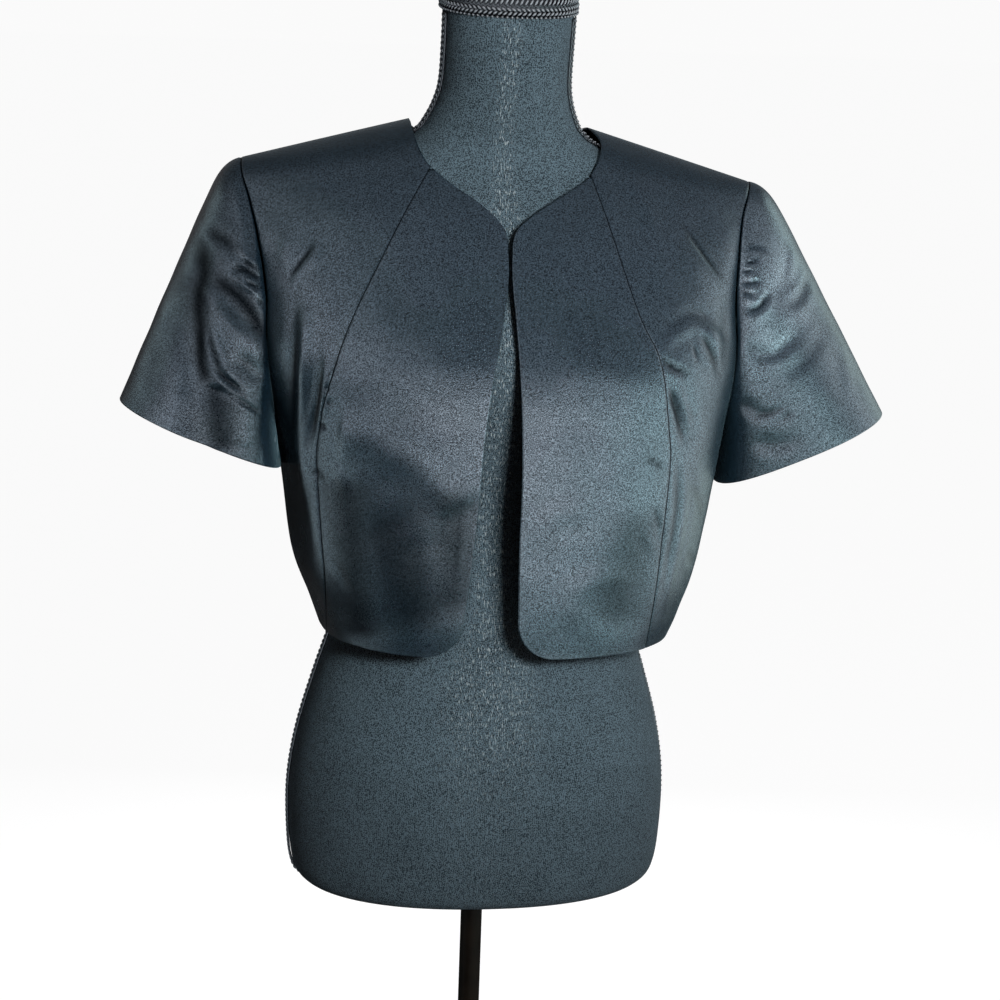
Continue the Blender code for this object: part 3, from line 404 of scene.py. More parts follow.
def smooth_rows(table: Array, places: Array) -> Array:
    """Rows of a table at fractional places, on a smooth curve through its rows (Catmull-Rom).

    Args:
        table: rows of numbers.
        places: places in the table, 0 at its first row.

    Returns:
        Array of the places' shape with one more axis, for the table's columns.
    """
    padded = np.vstack((2.0 * table[0] - table[1], table, 2.0 * table[-1] - table[-2]))
    start = np.clip(np.floor(places).astype(int), 0, len(table) - 2)
    share = (places - start)[..., None]
    before, here, after, beyond = (padded[start + k] for k in range(4))
    slope_here = (after - before) / 2.0
    slope_after = (beyond - here) / 2.0
    square = share * share
    cube = square * share
    return ((2.0 * cube - 3.0 * square + 1.0) * here + (cube - 2.0 * square + share) * slope_here
            + (3.0 * square - 2.0 * cube) * after + (cube - square) * slope_after)


def smooth_step(share: Array) -> Array:
    """Share from 0 to 1, eased at both ends."""
    held = np.clip(share, 0.0, 1.0)
    return held * held * (3.0 - 2.0 * held)


def refine(values: Sequence[float], parts: int) -> Array:
    """Values with evenly spaced ones put between each two."""
    count = len(values) - 1
    return np.interp(np.arange(count * parts + 1) / parts, np.arange(count + 1), values)


def run_lengths(points: Array, axis: int) -> Array:
    """Length along a grid's rows or columns, from 0 at its first point.

    Args:
        points: grid of points.
        axis: 0 along the columns, 1 along the rows.

    Returns:
        Grid of lengths.
    """
    steps = np.linalg.norm(np.diff(points, axis=axis), axis=2)
    return np.insert(np.cumsum(steps, axis=axis), 0, 0.0, axis=axis)


def ring_quads(rows: int, columns: int) -> Array:
    """Quads of a tube.

    Args:
        rows: number of its rings.
        columns: vertices in a ring.

    Returns:
        Four vertex numbers for each quad.
    """
    row, column = (part.ravel() for part in np.mgrid[0:rows - 1, 0:columns])
    after = (column + 1) % columns
    return np.stack((row * columns + column, row * columns + after,
                     (row + 1) * columns + after, (row + 1) * columns + column), axis=1)


def point_along(where: float, lengths: Array, table: Array) -> Array:
    """Row of a table at a length along it."""
    return np.array([np.interp(where, lengths, column) for column in table.T])


def crease_relief(creases: Sequence[Crease], across: Array, up: Array) -> tuple[Array, Array]:
    """Height that creases add, and the painted shade of their troughs.

    Args:
        creases: the creases.
        across: X of each point.
        up: Z of each point.

    Returns:
        Height and painted shade, from 0 to 1, of each point.
    """
    height = np.zeros_like(across)
    shade = np.zeros_like(across)
    for crease in creases:
        path = crease.path()
        nearest = np.full(across.shape, np.inf)
        share = np.zeros_like(across)
        for k, (start, run) in enumerate(zip(path, np.diff(path, axis=0))):
            along = ((across - start[0]) * run[0] + (up - start[1]) * run[1]) / float(run @ run)
            along = np.clip(along, 0.0, 1.0)
            distance = np.hypot(across - start[0] - along * run[0], up - start[1] - along * run[1])
            share = np.where(distance < nearest, (k + along) / (len(path) - 1), share)
            nearest = np.minimum(distance, nearest)
        away = nearest / crease.half_width
        ends = smooth_step(np.minimum(share, 1.0 - share) / crease.taper)
        middle = np.exp(-away ** 2) * ends
        beside = crease.flank * np.exp(-(away - crease.flank_place) ** 2) * ends
        height += crease.height * (middle - beside)
        shade = np.maximum(shade, crease.shade * middle)
    return height, shade


@dataclass
class Undulation:
    """Faint unevenness of hung cloth, as a sum of slow waves."""

    height: float = 0.00007
    shortest: float = 0.022
    longest: float = 0.060
    waves: int = 7
    seed: int = 11

    def relief(self, points: Array) -> Array:
        """Height of the waves at points."""
        draw = np.random.default_rng(self.seed)
        total = np.zeros(points.shape[:-1])
        for _ in range(self.waves):
            way = draw.normal(size=3)
            way /= np.linalg.norm(way)
            length = draw.uniform(self.shortest, self.longest)
            start = draw.uniform(0.0, 2.0 * math.pi)
            total += np.sin(points @ way * 2.0 * math.pi / length + start)
        return total * self.height


@dataclass
class FreeEdges:
    """Whether a grid's four edges are free or sewn, all along or point by point."""

    start: Array | bool
    end: Array | bool
    foot: Array | bool
    head: Array | bool


@dataclass
class EdgeFinish:
    """How far cloth rounds at a free edge and dips at a seam, and how wide the painted shade along a seam is.
    """

    cloth: float = 0.0020
    roundness: float = 0.8
    seam_dip: float = 0.0005
    seam_roll: float = 0.0010
    seam_shade_width: float = 0.0004

    def layers(self, points: Array, normals: Array, shade: Array,
               free: FreeEdges) -> tuple[Array, Array, Array]:
        """Outer and inner layer of a cloth wall, and its painted shade, darkened further along its seams.

        Args:
            points: grid on the wall's outside.
            normals: outward unit normals there.
            shade: painted shade of the cloth there, 1 in the deepest creases and below 0 where painted shine
                is added.
            free: the edges that are free.

        Returns:
            Outer and inner grids of points, and the painted shade of each point.
        """
        across = run_lengths(points, 1)
        along = run_lengths(points, 0)
        half = self.cloth / 2.0
        sink = np.zeros(points.shape[:2])
        rise = np.zeros(points.shape[:2])
        edges = ((across, free.start, (-1, 1)), (across[:, -1:] - across, free.end, (-1, 1)),
                 (along, free.foot, (1, -1)), (along[-1:, :] - along, free.head, (1, -1)))
        for distance, state, shape in edges:
            is_free = np.reshape(state, shape)
            near = 1.0 - np.clip(distance / half, 0.0, 1.0)
            rounded = self.roundness * half * (1.0 - np.sqrt(1.0 - near ** 2))
            rolled = self.seam_dip * np.exp(-(distance / self.seam_roll) ** 2)
            sink = np.maximum(sink, np.where(is_free, rounded, rolled))
            rise = np.maximum(rise, np.where(is_free, rounded, 0.0))
            # Painted shade along sewn edges, for the shadow in a seam's fold.
            seam = np.where(is_free, 0.0, np.exp(-(distance / self.seam_shade_width) ** 2))
            shade = shade + (1.0 - shade) * seam
        outer = points - normals * sink[..., None]
        inner = points - normals * (self.cloth - rise)[..., None]
        return outer, inner, shade


def mesh_from_grids(name: str, outer: Array, inner: Array, shade: Array, closed: bool) -> Mesh:
    """Closed wall between two matching grids of points, with its cut as a map in metres.

    Args:
        name: name of the mesh.
        outer: grid on the outside.
        inner: grid on the inside.
        shade: painted shade of each point.
        closed: whether the rows run round as rings.

    Returns:
        The mesh, smooth shaded.
    """
    rows, columns = outer.shape[:2]
    steps = columns if closed else columns - 1
    ringed = np.concatenate((outer, outer[:, :1]), axis=1) if closed else outer
    across = run_lengths(ringed, 1)
    along = run_lengths(ringed, 0)
    corners = []
    for layer in (0, 1):
        row, column = (part.ravel() for part in np.mgrid[0:rows - 1, 0:steps])
        quad = [(layer, row, column), (layer, row, column + 1),
                (layer, row + 1, column + 1), (layer, row + 1, column)]
        corners.append(quad if layer == 0 else quad[::-1])
    column = np.arange(steps)
    for row in (0, rows - 1):
        fixed = np.full(steps, row)
        quad = [(0, fixed, column), (1, fixed, column), (1, fixed, column + 1), (0, fixed, column + 1)]
        corners.append(quad if row == 0 else quad[::-1])
    if not closed:
        row = np.arange(rows - 1)
        for edge in (0, columns - 1):
            fixed = np.full(rows - 1, edge)
            quad = [(0, row, fixed), (0, row + 1, fixed), (1, row + 1, fixed), (1, row, fixed)]
            corners.append(quad if edge == 0 else quad[::-1])
    faces, cut = [], []
    for quad in corners:
        faces.append(np.stack([layer * rows * columns + row * columns + column % columns
                               for layer, row, column in quad], axis=1))
        cut.append(np.stack([np.stack((across[row, column], along[row, column]), axis=1)
                             for _, row, column in quad], axis=1))
    points = np.concatenate((outer.reshape(-1, 3), inner.reshape(-1, 3)))
    mesh = finish_mesh(name, points, np.concatenate(faces), np.concatenate(cut))
    layer = mesh.attributes.new(SHADE, "FLOAT", "POINT")
    layer.data.foreach_set("value", np.tile(shade.ravel(), 2).astype(np.float32))
    return mesh


def finish_mesh(name: str, points: Array, quads: Array, cut: Array) -> Mesh:
    """Mesh of quads with a map, facing out and smooth shaded.

    Args:
        name: name of the mesh.
        points: the vertices.
        quads: four vertex numbers for each face.
        cut: place of each face's four corners in the map, in metres.

    Returns:
        The mesh.
    """
    corners = points[quads]
    normals = np.cross(corners[:, 2] - corners[:, 0], corners[:, 3] - corners[:, 1])
    volume = np.sum(corners.mean(axis=1) * normals)
    if volume < 0.0:
        quads = quads[:, ::-1]
        cut = cut[:, ::-1]
    mesh = bpy.data.meshes.new(name)
    mesh.from_pydata(points.tolist(), [], quads.tolist())
    layer = mesh.uv_layers.new(name=CUT_MAP)
    layer.uv.foreach_set("vector", cut.reshape(-1).astype(np.float32))
    mesh.shade_smooth()
    return mesh


def link(thing: Object) -> None:
    """Link an object to the scene."""
    bpy.context.scene.collection.objects.link(thing)


def add_piece(name: str, mesh: Mesh, material: Material, slot: str, *nodes: str) -> Object:
    """Link a mesh as a piece that stands for nodes of the frame.

    Args:
        name: name of the piece.
        mesh: its mesh.
        material: its material.
        slot: name of the material slot; not used.
        nodes: nodes that the piece replaces.

    Returns:
        The piece.
    """
    mesh.materials.append(material)
    piece = bpy.data.objects.new(name, mesh)
    link(piece)
    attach(piece, BODY_NAME)
    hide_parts(*nodes)
    LOG.info("%s: %d faces", name, len(mesh.polygons))
    return piece


@dataclass
class JacketBlock:
    """Plain surface that the jacket's body is cut from, with its creases."""

    roundness: float = 2.5
    shoulder_tip: float = 0.213
    shoulder_turn: float = math.radians(58.7)
    armhole_power: float = 0.4
    soft_centre: float = 0.020
    corner_radius: float = 0.030
    seam: float = 0.0003
    crease_fade: float = 0.030
    underarm: float = 4.0
    hem_rows: int = 5
    lower_rows: int = 5
    armhole_rows: int = 14
    near_row: float = 0.05
    halvings: int = 40
    undulation: Undulation = field(default_factory=Undulation)

    def __post_init__(self) -> None:
        """Lay out the sections, with one past the shoulder seam so that the shoulder rounds over."""
        far = BODY[-2]._replace(front=-BODY[-2].front, back=-BODY[-2].back)
        self.rows = np.array(BODY + (far,))
        self.top = float(len(BODY) - 1)

    def sections(self, place: Array) -> BodySection:
        """Sections at places between the given ones, with an array in each column."""
        return BodySection(*np.moveaxis(smooth_rows(self.rows, place), -1, 0))

    def height(self, sections: BodySection, x: Array) -> Array:
        """Height of sections at a distance from the centre, with shoulder slope and tilt."""
        across = np.hypot(x, self.soft_centre) / self.shoulder_tip
        return sections.z + sections.rise * (1.0 - across) - sections.tilt * x

    def base(self, turn: Array, face: Face, place: Array) -> Array:
        """Points of the plain surface.

        Args:
            turn: turn from the centre, a right angle at the side.
            face: front or back.
            place: place between the sections, 0 at the hem.

        Returns:
            Array of points.
        """
        sections = self.sections(place)
        reach = np.where(turn < 0.0, sections.reach_right, sections.reach_left)
        depth = sections.front if face is Face.FRONT else sections.back
        power = 2.0 / self.roundness
        x = np.sign(turn) * reach * np.abs(np.sin(turn)) ** power
        y = face.value * depth * np.maximum(np.cos(turn), 0.0) ** power
        return np.stack((x, y, self.height(sections, x)), axis=-1)

    def normal(self, turn: Array, face: Face, place: Array) -> Array:
        """Outward unit normals of the plain surface, for the same values as base."""
        step = 0.002
        after = self.base(np.minimum(turn + step, RIGHT_ANGLE), face, place)
        before = self.base(np.maximum(turn - step, -RIGHT_ANGLE), face, place)
        higher = self.base(turn, face, place + step)
        lower = self.base(turn, face, np.maximum(place - step, 0.0))
        normals = np.cross(after - before, higher - lower) * -face.value
        return normals / np.linalg.norm(normals, axis=-1, keepdims=True)

    def cloth(self, turn: Array, face: Face, place: Array) -> tuple[Array, Array, Array]:
        """Outside of the cloth, with its creases, its normals and its painted shade.

        Args:
            turn: turn from the centre.
            face: front or back.
            place: place between the sections.

        Returns:
            Points, outward unit normals and the painted shade of each point.
        """
        points = self.base(turn, face, place)
        normals = self.normal(turn, face, place)
        creases = FRONT_CREASES if face is Face.FRONT else BACK_CREASES
        fade = smooth_step(np.abs(points[..., 1]) / self.crease_fade)
        relief, shade = crease_relief(creases, points[..., 0], points[..., 2])
        relief = relief + self.undulation.relief(points)
        return points + normals * (relief * fade)[..., None], normals, shade * fade

    def place_at(self, x: Array, z: Array) -> Array:
        """Places of the sections that have given heights at given distances from the centre."""
        low = np.zeros_like(x)
        high = np.full_like(x, self.top)
        for _ in range(self.halvings):
            middle = (low + high) / 2.0
            below = self.height(self.sections(middle), x) < z
            low = np.where(below, middle, low)
            high = np.where(below, high, middle)
        return (low + high) / 2.0

    def turn_at(self, x: Array, place: Array) -> Array:
        """Turns of the points of sections at given distances from the centre."""
        sections = self.sections(place)
        reach = np.where(x < 0.0, sections.reach_right, sections.reach_left)
        return np.sign(x) * np.arcsin(np.minimum(np.abs(x) / reach, 1.0) ** (self.roundness / 2.0))

    def armhole_turn(self, place: Array) -> Array:
        """Turn of the armhole edge above the underarm, and of the side seam below it."""
        low = BODY[int(self.underarm)].z
        level = self.sections(np.minimum(place, self.top)).z
        share = np.maximum((level - low) / (BODY[-1].z - low), 0.0) ** self.armhole_power
        rounded = RIGHT_ANGLE - (RIGHT_ANGLE - self.shoulder_turn) * share
        return np.where(place <= self.underarm, RIGHT_ANGLE, rounded)

    def seam_turn(self, turn: Array, face: Face, place: Array, towards: int) -> Array:
        """Turn of a seam, drawn back by half the seam gap; towards is the way out of the panel."""
        step = 0.001
        drawn_back = self.base(turn - towards * step, face, place)
        stretch = np.linalg.norm(drawn_back - self.base(turn, face, place), axis=-1) / step
        return turn - towards * (self.seam / 2.0) / stretch

    def shoulder_place(self) -> float:
        """Place of the shoulder edge, drawn back by half the seam gap."""
        step = 0.01
        turn = np.array(self.shoulder_turn / 2.0)
        edge = self.base(turn, Face.FRONT, np.array(self.top))
        length = np.linalg.norm(edge - self.base(turn, Face.FRONT, np.array(self.top - step)))
        return self.top - step * (self.seam / 2.0) / float(length)

    def panel_places(self, extra: Sequence[float] = ()) -> list[float]:
        """Places of a panel's main rows: hem corner, straight part, armhole and shoulder.

        Args:
            extra: places that must have a row.

        Returns:
            Rising places.
        """
        corner = np.linspace(0.0, RIGHT_ANGLE, self.hem_rows + 1)
        levels = BODY[0].z + self.corner_radius * (1.0 - np.cos(corner))
        places = self.place_at(np.zeros_like(levels), levels).tolist()
        places[0] = 0.0
        places += np.linspace(places[-1], self.underarm, self.lower_rows + 1)[1:].tolist()
        shares = (1.0 - np.cos(np.linspace(0.0, math.pi, self.armhole_rows + 1)[1:])) / 2.0
        places += (self.underarm + (self.shoulder_place() - self.underarm) * shares).tolist()
        for place in extra:
            nearest = min(range(len(places)), key=lambda k: abs(places[k] - place))
            if abs(places[nearest] - place) < self.near_row:
                places[nearest] = place
            else:
                places.append(place)
                places.sort()
        return places


@dataclass
class ClothGrid:
    """How finely a panel is divided."""

    spacing: float = 0.0022
    row_parts: int = 7
    edge_rows: tuple[float, ...] = (0.0, 0.0003, 0.0007, 0.0012, 0.0020, 0.0032)

    def shares(self, width: float) -> Array:
        """Shares from 0 to 1 across a panel, closer at both edges."""
        near = np.array(self.edge_rows)
        count = max(int((width - 2.0 * near[-1]) / self.spacing), 2)
        middle = np.linspace(near[-1], width - near[-1], count + 1)[1:-1]
        return np.concatenate((near, middle, width - near[::-1])) / width


@dataclass
class FrontCut:
    """Cut of the two front panels of one side, parted by the princess seam."""

    block: JacketBlock
    side: Side
    grid: ClothGrid = field(default_factory=ClothGrid)
    panel_tip: float = 0.06
    corner_points: int = 3
    centre_width: float = 0.125
    side_width: float = 0.130
    samples: int = 60

    def __post_init__(self) -> None:
        """Work out the edges, the seam and the rows."""
        self.edge = self.curve(FRONT_EDGE[self.side])
        self.neck = self.curve(NECKLINE[self.side])
        self.seam = self.curve(PRINCESS_SEAM[self.side])
        corner = FRONT_EDGE[self.side][0]
        self.v_place = float(self.block.place_at(np.array(corner.x), np.array(corner.z)))
        self.join = float(self.seam[0][-1])
        self.tip = self.join - self.panel_tip
        points = np.array(NECKLINE[self.side][-self.corner_points:-1])
        rounded = self.block.place_at(points[:, 1], points[:, 0]).tolist()
        self.places = self.block.panel_places((self.v_place, *rounded, self.tip, self.join))

    def curve(self, table: Sequence[EdgePoint]) -> tuple[Array, Array]:
        """Places, rising, and distances from the centre along an edge or a seam."""
        points = smooth_rows(np.array(table), np.linspace(0.0, len(table) - 1.0, self.samples + 1))
        places = self.block.place_at(points[:, 1], points[:, 0])
        return places[::-1], points[::-1, 1]

    def free_edge(self, place: Array) -> Array:
        """Turn of the front edge, with its rounded lower corner, and of the neckline above the V."""
        radius = self.block.corner_radius
        edge = np.interp(place, *self.edge)
        level = self.block.sections(place).z
        low = np.maximum(radius - (level - BODY[0].z), 0.0)
        edge = edge + self.side.value * (radius - np.sqrt(np.maximum(radius ** 2 - low ** 2, 0.0)))
        x = np.where(place > self.v_place, np.interp(place, *self.neck), edge)
        return self.block.turn_at(x, place)

    def princess(self, place: Array) -> Array:
        """Turn of the princess seam."""
        return self.block.turn_at(np.interp(place, *self.seam), place)

    def centre_grid(self) -> tuple[Array, Array, FreeEdges]:
        """Turns and places of the centre panel's points, and its free edges."""
        place = refine(self.places[:self.places.index(self.tip) + 1], self.grid.row_parts)
        outer = self.block.seam_turn(self.princess(place), Face.FRONT, place, self.side.value)
        free = FreeEdges(start=True, end=False, foot=True, head=False)
        return *self.spread(place, self.free_edge(place), outer, self.centre_width), free

    def side_grid(self) -> tuple[Array, Array, FreeEdges]:
        """Turns and places of the side panel's points, and its free edges."""
        place = refine(self.places, self.grid.row_parts)
        sewn = place < self.join
        seam = self.block.seam_turn(self.princess(place), Face.FRONT, place, -self.side.value)
        inner = np.where(sewn, seam, self.free_edge(place))
        outer = self.side.value * self.block.armhole_turn(place)
        drawn = self.block.seam_turn(outer, Face.FRONT, place, self.side.value)
        outer = np.where(place <= self.block.underarm, drawn, outer)
        free = FreeEdges(start=~sewn, end=False, foot=True, head=False)
        return *self.spread(place, inner, outer, self.side_width), free

    def spread(self, place: Array, inner: Array, outer: Array, width: float) -> tuple[Array, Array]:
        """Turns and places of a panel's points, between the turns of its two long edges.

        Args:
            place: places of its rows.
            inner: turns of the edge nearer the centre.
            outer: turns of the edge nearer the side.
            width: the panel's rough width.

        Returns:
            Turns and places.
        """
        shares = self.grid.shares(width)
        turn = inner[:, None] * (1.0 - shares) + outer[:, None] * shares
        return turn, np.repeat(place[:, None], len(shares), axis=1)


@dataclass
class BackCut:
    """Cut of the back, one piece from side seam to side seam."""

    block: JacketBlock
    grid: ClothGrid = field(default_factory=lambda: ClothGrid(0.0035, 4))
    neck_drop: float = 0.018
    row_bend: float = 4.0
    shoulder_width: float = 0.145
    neck_columns: int = 44

    def back_grid(self) -> tuple[Array, Array, FreeEdges]:
        """Turns and places of the back's points, and its free edges."""
        block = self.block
        neck = {side: NECKLINE[side][0] for side in Side}
        tip = block.shoulder_turn
        share = {side: abs(float(block.turn_at(np.array(neck[side].x), np.array(block.top)))) / tip
                 for side in Side}
        level = (neck[Side.RIGHT].z + neck[Side.LEFT].z) / 2.0 - self.neck_drop
        low = float(block.place_at(np.array(0.0), np.array(level)))
        top = block.shoulder_place()
        outward = self.grid.shares(self.shoulder_width)
        right = -1.0 + (1.0 - share[Side.RIGHT]) * outward
        left = share[Side.LEFT] + (1.0 - share[Side.LEFT]) * outward
        angles = np.linspace(-RIGHT_ANGLE, RIGHT_ANGLE, self.neck_columns + 1)[1:-1]
        middle = np.sin(angles) * np.where(angles < 0.0, share[Side.RIGHT], share[Side.LEFT])
        column = np.concatenate((right, middle, left))
        limit = np.where(column < 0.0, share[Side.RIGHT], share[Side.LEFT])
        inside = np.maximum(1.0 - (column / limit) ** 2, 0.0)
        ceiling = top - (top - low) * np.sqrt(inside)
        rows = refine(block.panel_places(), self.grid.row_parts)
        place = rows[:, None] - (top - ceiling) * (rows[:, None] / top) ** self.row_bend
        turn = column * block.armhole_turn(place)
        for edge, side in ((0, Side.RIGHT), (-1, Side.LEFT)):
            drawn = block.seam_turn(turn[:, edge], Face.BACK, place[:, edge], side.value)
            turn[:, edge] = np.where(rows <= block.underarm, drawn, turn[:, edge])
        return turn, place, FreeEdges(start=False, end=False, foot=True, head=inside > 0.0)


@dataclass
class SleeveCut:
    """Cut of one sleeve, set in round the armhole and open at its hem."""

    front: FrontCut
    armhole_gap: float = 0.0005
    head: float = 0.013
    underarm_fullness: float = 0.003
    head_rise: float = 0.05
    head_spread: float = 0.25
    fold_start: float = 0.10
    crease_start: float = 0.012
    front_share: float = 0.5
    inner_flatness: float = 3.2
    # Where the painted shade and painted shine of a sleeve fall, by angle round it and step along it
    inner_from: float = 0.35
    inner_spread: float = 0.5
    low_from: float = 0.25
    low_spread: float = 0.35
    upper_from: float = -0.1
    upper_spread: float = 0.5
    edge_from: float = -0.5
    edge_spread: float = 0.35
    edge_share: float = 0.25
    parts: int = 7
    steps: tuple[float, ...] = (0.0, 0.004, 0.010, 0.025, 0.06, 0.11, 0.18, 0.27, 0.37, 0.48, 0.60, 0.72,
                                0.86, 0.985, 0.995, 1.0)

    def loop(self) -> tuple[Array, Array]:
        """Armhole points, from the shoulder down the front and up the back, and their hem angles."""
        block = self.front.block
        halves, angles = [], []
        for face, rows in ((Face.FRONT, self.front.places), (Face.BACK, block.panel_places())):
            knots = [place for place in rows if place >= block.underarm]
            knots[-1] = block.top
            places = refine(knots, self.parts)
            points = block.cloth(self.front.side.value * block.armhole_turn(places), face, places)[0]
            share = run_lengths(points[None], 1)[0]
            halves.append(points)
            angles.append(math.pi * share / share[-1])
        out = np.array((self.front.side.value * self.armhole_gap, 0.0, 0.0))
        loop = np.concatenate((halves[0][::-1], halves[1][1:-1])) + out
        return loop, np.concatenate((math.pi - angles[0][::-1], math.pi + angles[1][1:-1]))

    def hem_ring(self, angles: Array) -> Array:
        """Points of the hem, whose inner half lies flat along the body."""
        hem = SLEEVE_HEM[self.front.side]
        power = np.where(np.cos(angles) > 0.0, 1.0, 2.0 / self.inner_flatness)
        out = np.sign(np.cos(angles)) * np.abs(np.cos(angles)) ** power
        forward = np.sign(np.sin(angles)) * np.abs(np.sin(angles)) ** power
        across = np.array((self.front.side.value * math.cos(hem.lift), 0.0, math.sin(hem.lift)))
        centre = np.array((hem.x, hem.y, hem.z))
        return (centre + across * (hem.half_width * out)[:, None]
                + np.array((0.0, -hem.half_depth, 0.0)) * forward[:, None])

    def surface(self) -> tuple[Array, Array, Array]:
        """Outside of the sleeve as rings from the armhole to the hem, its normals and its painted shade."""
        armhole, angles = self.loop()
        ring = self.hem_ring(angles)
        step = refine(self.steps, self.parts)[:, None]
        plain = armhole * (1.0 - step[..., None]) + ring * step[..., None]
        normals = tube_normals(plain)
        crown = (1.0 + np.cos(angles)) / 2.0
        fullness = self.underarm_fullness + (self.head - self.underarm_fullness) * crown
        rise = (1.0 - step) * (1.0 - np.exp(-step / self.head_rise))
        height = fullness * rise * crown ** self.head_spread
        held = np.minimum(step / self.fold_start, 1.0)
        near = np.minimum(step / self.crease_start, 1.0)
        forward = smooth_step(np.sin(angles) / self.front_share)
        backward = smooth_step(-np.sin(angles) / self.front_share)
        shade = np.zeros_like(height)
        for creases, share in ((SLEEVE_FOLDS, held * forward), (SLEEVE_CREASES, near * forward),
                               (SLEEVE_BACK_CREASES, held * backward)):
            relief, dark = crease_relief(creases, plain[..., 0], plain[..., 2])
            height = height + relief * share
            shade = np.maximum(shade, dark * share)
        height = height + self.front.block.undulation.relief(plain) * held
        points = plain + normals * height[..., None]
        return points, tube_normals(points), self.lit(shade, step, angles)

    def lit(self, shade: Array, step: Array, angles: Array) -> Array:
        """Painted shade of the sleeve's creases, with the light that is painted on it by place.

        Args:
            shade: painted shade of its creases.
            step: share of the way from the armhole to the hem.
            angles: angles round the hem.

        Returns:
            Painted shade of each point, below 0 where painted shine is added.
        """
        light = SLEEVE_LIGHT[self.front.side]
        inner = smooth_step((self.inner_from - np.cos(angles)) / self.inner_spread)
        low = smooth_step((step - self.low_from) / self.low_spread)
        upper = smooth_step((np.cos(angles) - self.upper_from) / self.upper_spread)
        shine = light.head * upper * smooth_step(np.sin(angles) / self.front_share) * (1.0 - low)
        edge = smooth_step((self.edge_from - np.cos(angles)) / self.edge_spread)
        shine = shine + light.edge * edge * smooth_step(np.sin(angles) / self.edge_share) * low
        return shade + (1.0 - shade) * (light.shade * inner * low - shine)


def tube_normals(grid: Array) -> Array:
    """Outward unit normals of a tube given as a grid of rings."""
    along = np.gradient(grid, axis=0)
    around = np.roll(grid, -1, axis=1) - np.roll(grid, 1, axis=1)
    normals = np.cross(along, around)
    normals /= np.linalg.norm(normals, axis=2, keepdims=True)
    outward = np.sum(normals * (grid - grid.mean(axis=1, keepdims=True)))
    return normals if outward > 0.0 else -normals


@dataclass
class Jacket:
    """The cropped blazer: four front panels, a back and two sleeves."""

    material: Material
    block: JacketBlock = field(default_factory=JacketBlock)
    finish: EdgeFinish = field(default_factory=EdgeFinish)
    sleeve_finish: EdgeFinish = field(default_factory=lambda: EdgeFinish(seam_shade_width=0.0006))
    sleeve_lap: int = 8
    slot: str = "satin"
    rests_on: str = "form_torso"

    def build(self) -> list[Object]:
        """Build all cloth pieces.

        Returns:
            The pieces.
        """
        pieces = []
        for side in Side:
            front = FrontCut(self.block, side)
            pieces.append(self.panel("front_centre_" + side.word, Face.FRONT, *front.centre_grid()))
            pieces.append(self.panel("front_side_" + side.word, Face.FRONT, *front.side_grid()))
            pieces.append(self.sleeve("sleeve_" + side.word, SleeveCut(front)))
        pieces.append(self.panel("back", Face.BACK, *BackCut(self.block).back_grid()))
        return pieces

    def panel(self, node: str, face: Face, turn: Array, place: Array, free: FreeEdges) -> Object:
        """Build one flat-cut panel.

        Args:
            node: node that the panel replaces.
            face: front or back.
            turn: turns of its points.
            place: places of its points.
            free: its free edges.

        Returns:
            The piece.
        """
        points, normals, shade = self.block.cloth(turn, face, place)
        mesh = mesh_from_grids(node + "_cloth", *self.finish.layers(points, normals, shade, free), False)
        return self.dress(node, mesh)

    def sleeve(self, node: str, cut: SleeveCut) -> Object:
        """Build one sleeve.

        Args:
            node: node that the sleeve replaces.
            cut: its cut.

        Returns:
            The piece.
        """
        points, normals, shade = cut.surface()
        columns = points.shape[1]
        lap = self.sleeve_lap
        around = np.arange(-lap, columns + lap) % columns
        free = FreeEdges(start=False, end=False, foot=False, head=True)
        layers = self.sleeve_finish.layers(points[:, around], normals[:, around], shade[:, around], free)
        mesh = mesh_from_grids(node + "_cloth", *(layer[:, lap:-lap] for layer in layers), True)
        return self.dress(node, mesh)

    def dress(self, node: str, mesh: Mesh) -> Object:
        """Link a cloth piece.

        Args:
            node: node that the piece replaces.
            mesh: its mesh.

        Returns:
            The piece.
        """
        piece = add_piece(node + "_cloth", mesh, self.material, self.slot, node)
        return piece


@dataclass
class PlaitStrand:
    """One strand of a plaited braid, as a short bent tube in units of its own length."""

    rings: int = 7
    sides: int = 7
    thin_end: float = 0.12
    fullness: float = 0.7
    bow: float = 0.8

    def shape(self) -> tuple[Array, Array]:
        """Points (along, across, lift) of the tube, tapered at both ends, and its quads."""
        share = np.linspace(0.0, 1.0, self.rings)
        radius = np.sin(math.pi * (self.thin_end + (1.0 - 2.0 * self.thin_end) * share)) ** self.fullness
        turn = np.linspace(0.0, 2.0 * math.pi, self.sides, endpoint=False)
        along = np.repeat((share - 0.5)[:, None], self.sides, axis=1)
        bow = self.bow * np.sin(math.pi * share)
        across = radius[:, None] * np.cos(turn)
        lift = radius[:, None] * np.sin(turn) + bow[:, None]
        points = np.stack((along, across, lift), axis=-1).reshape(-1, 3)
        return points, ring_quads(self.rings, self.sides)


@dataclass
class BraidRow:
    """One row of strands of a braid: place across, slant, and the sizes of its strands."""

    offset: float
    slant: float
    length: float
    radius: float
    shift: float = 0.0


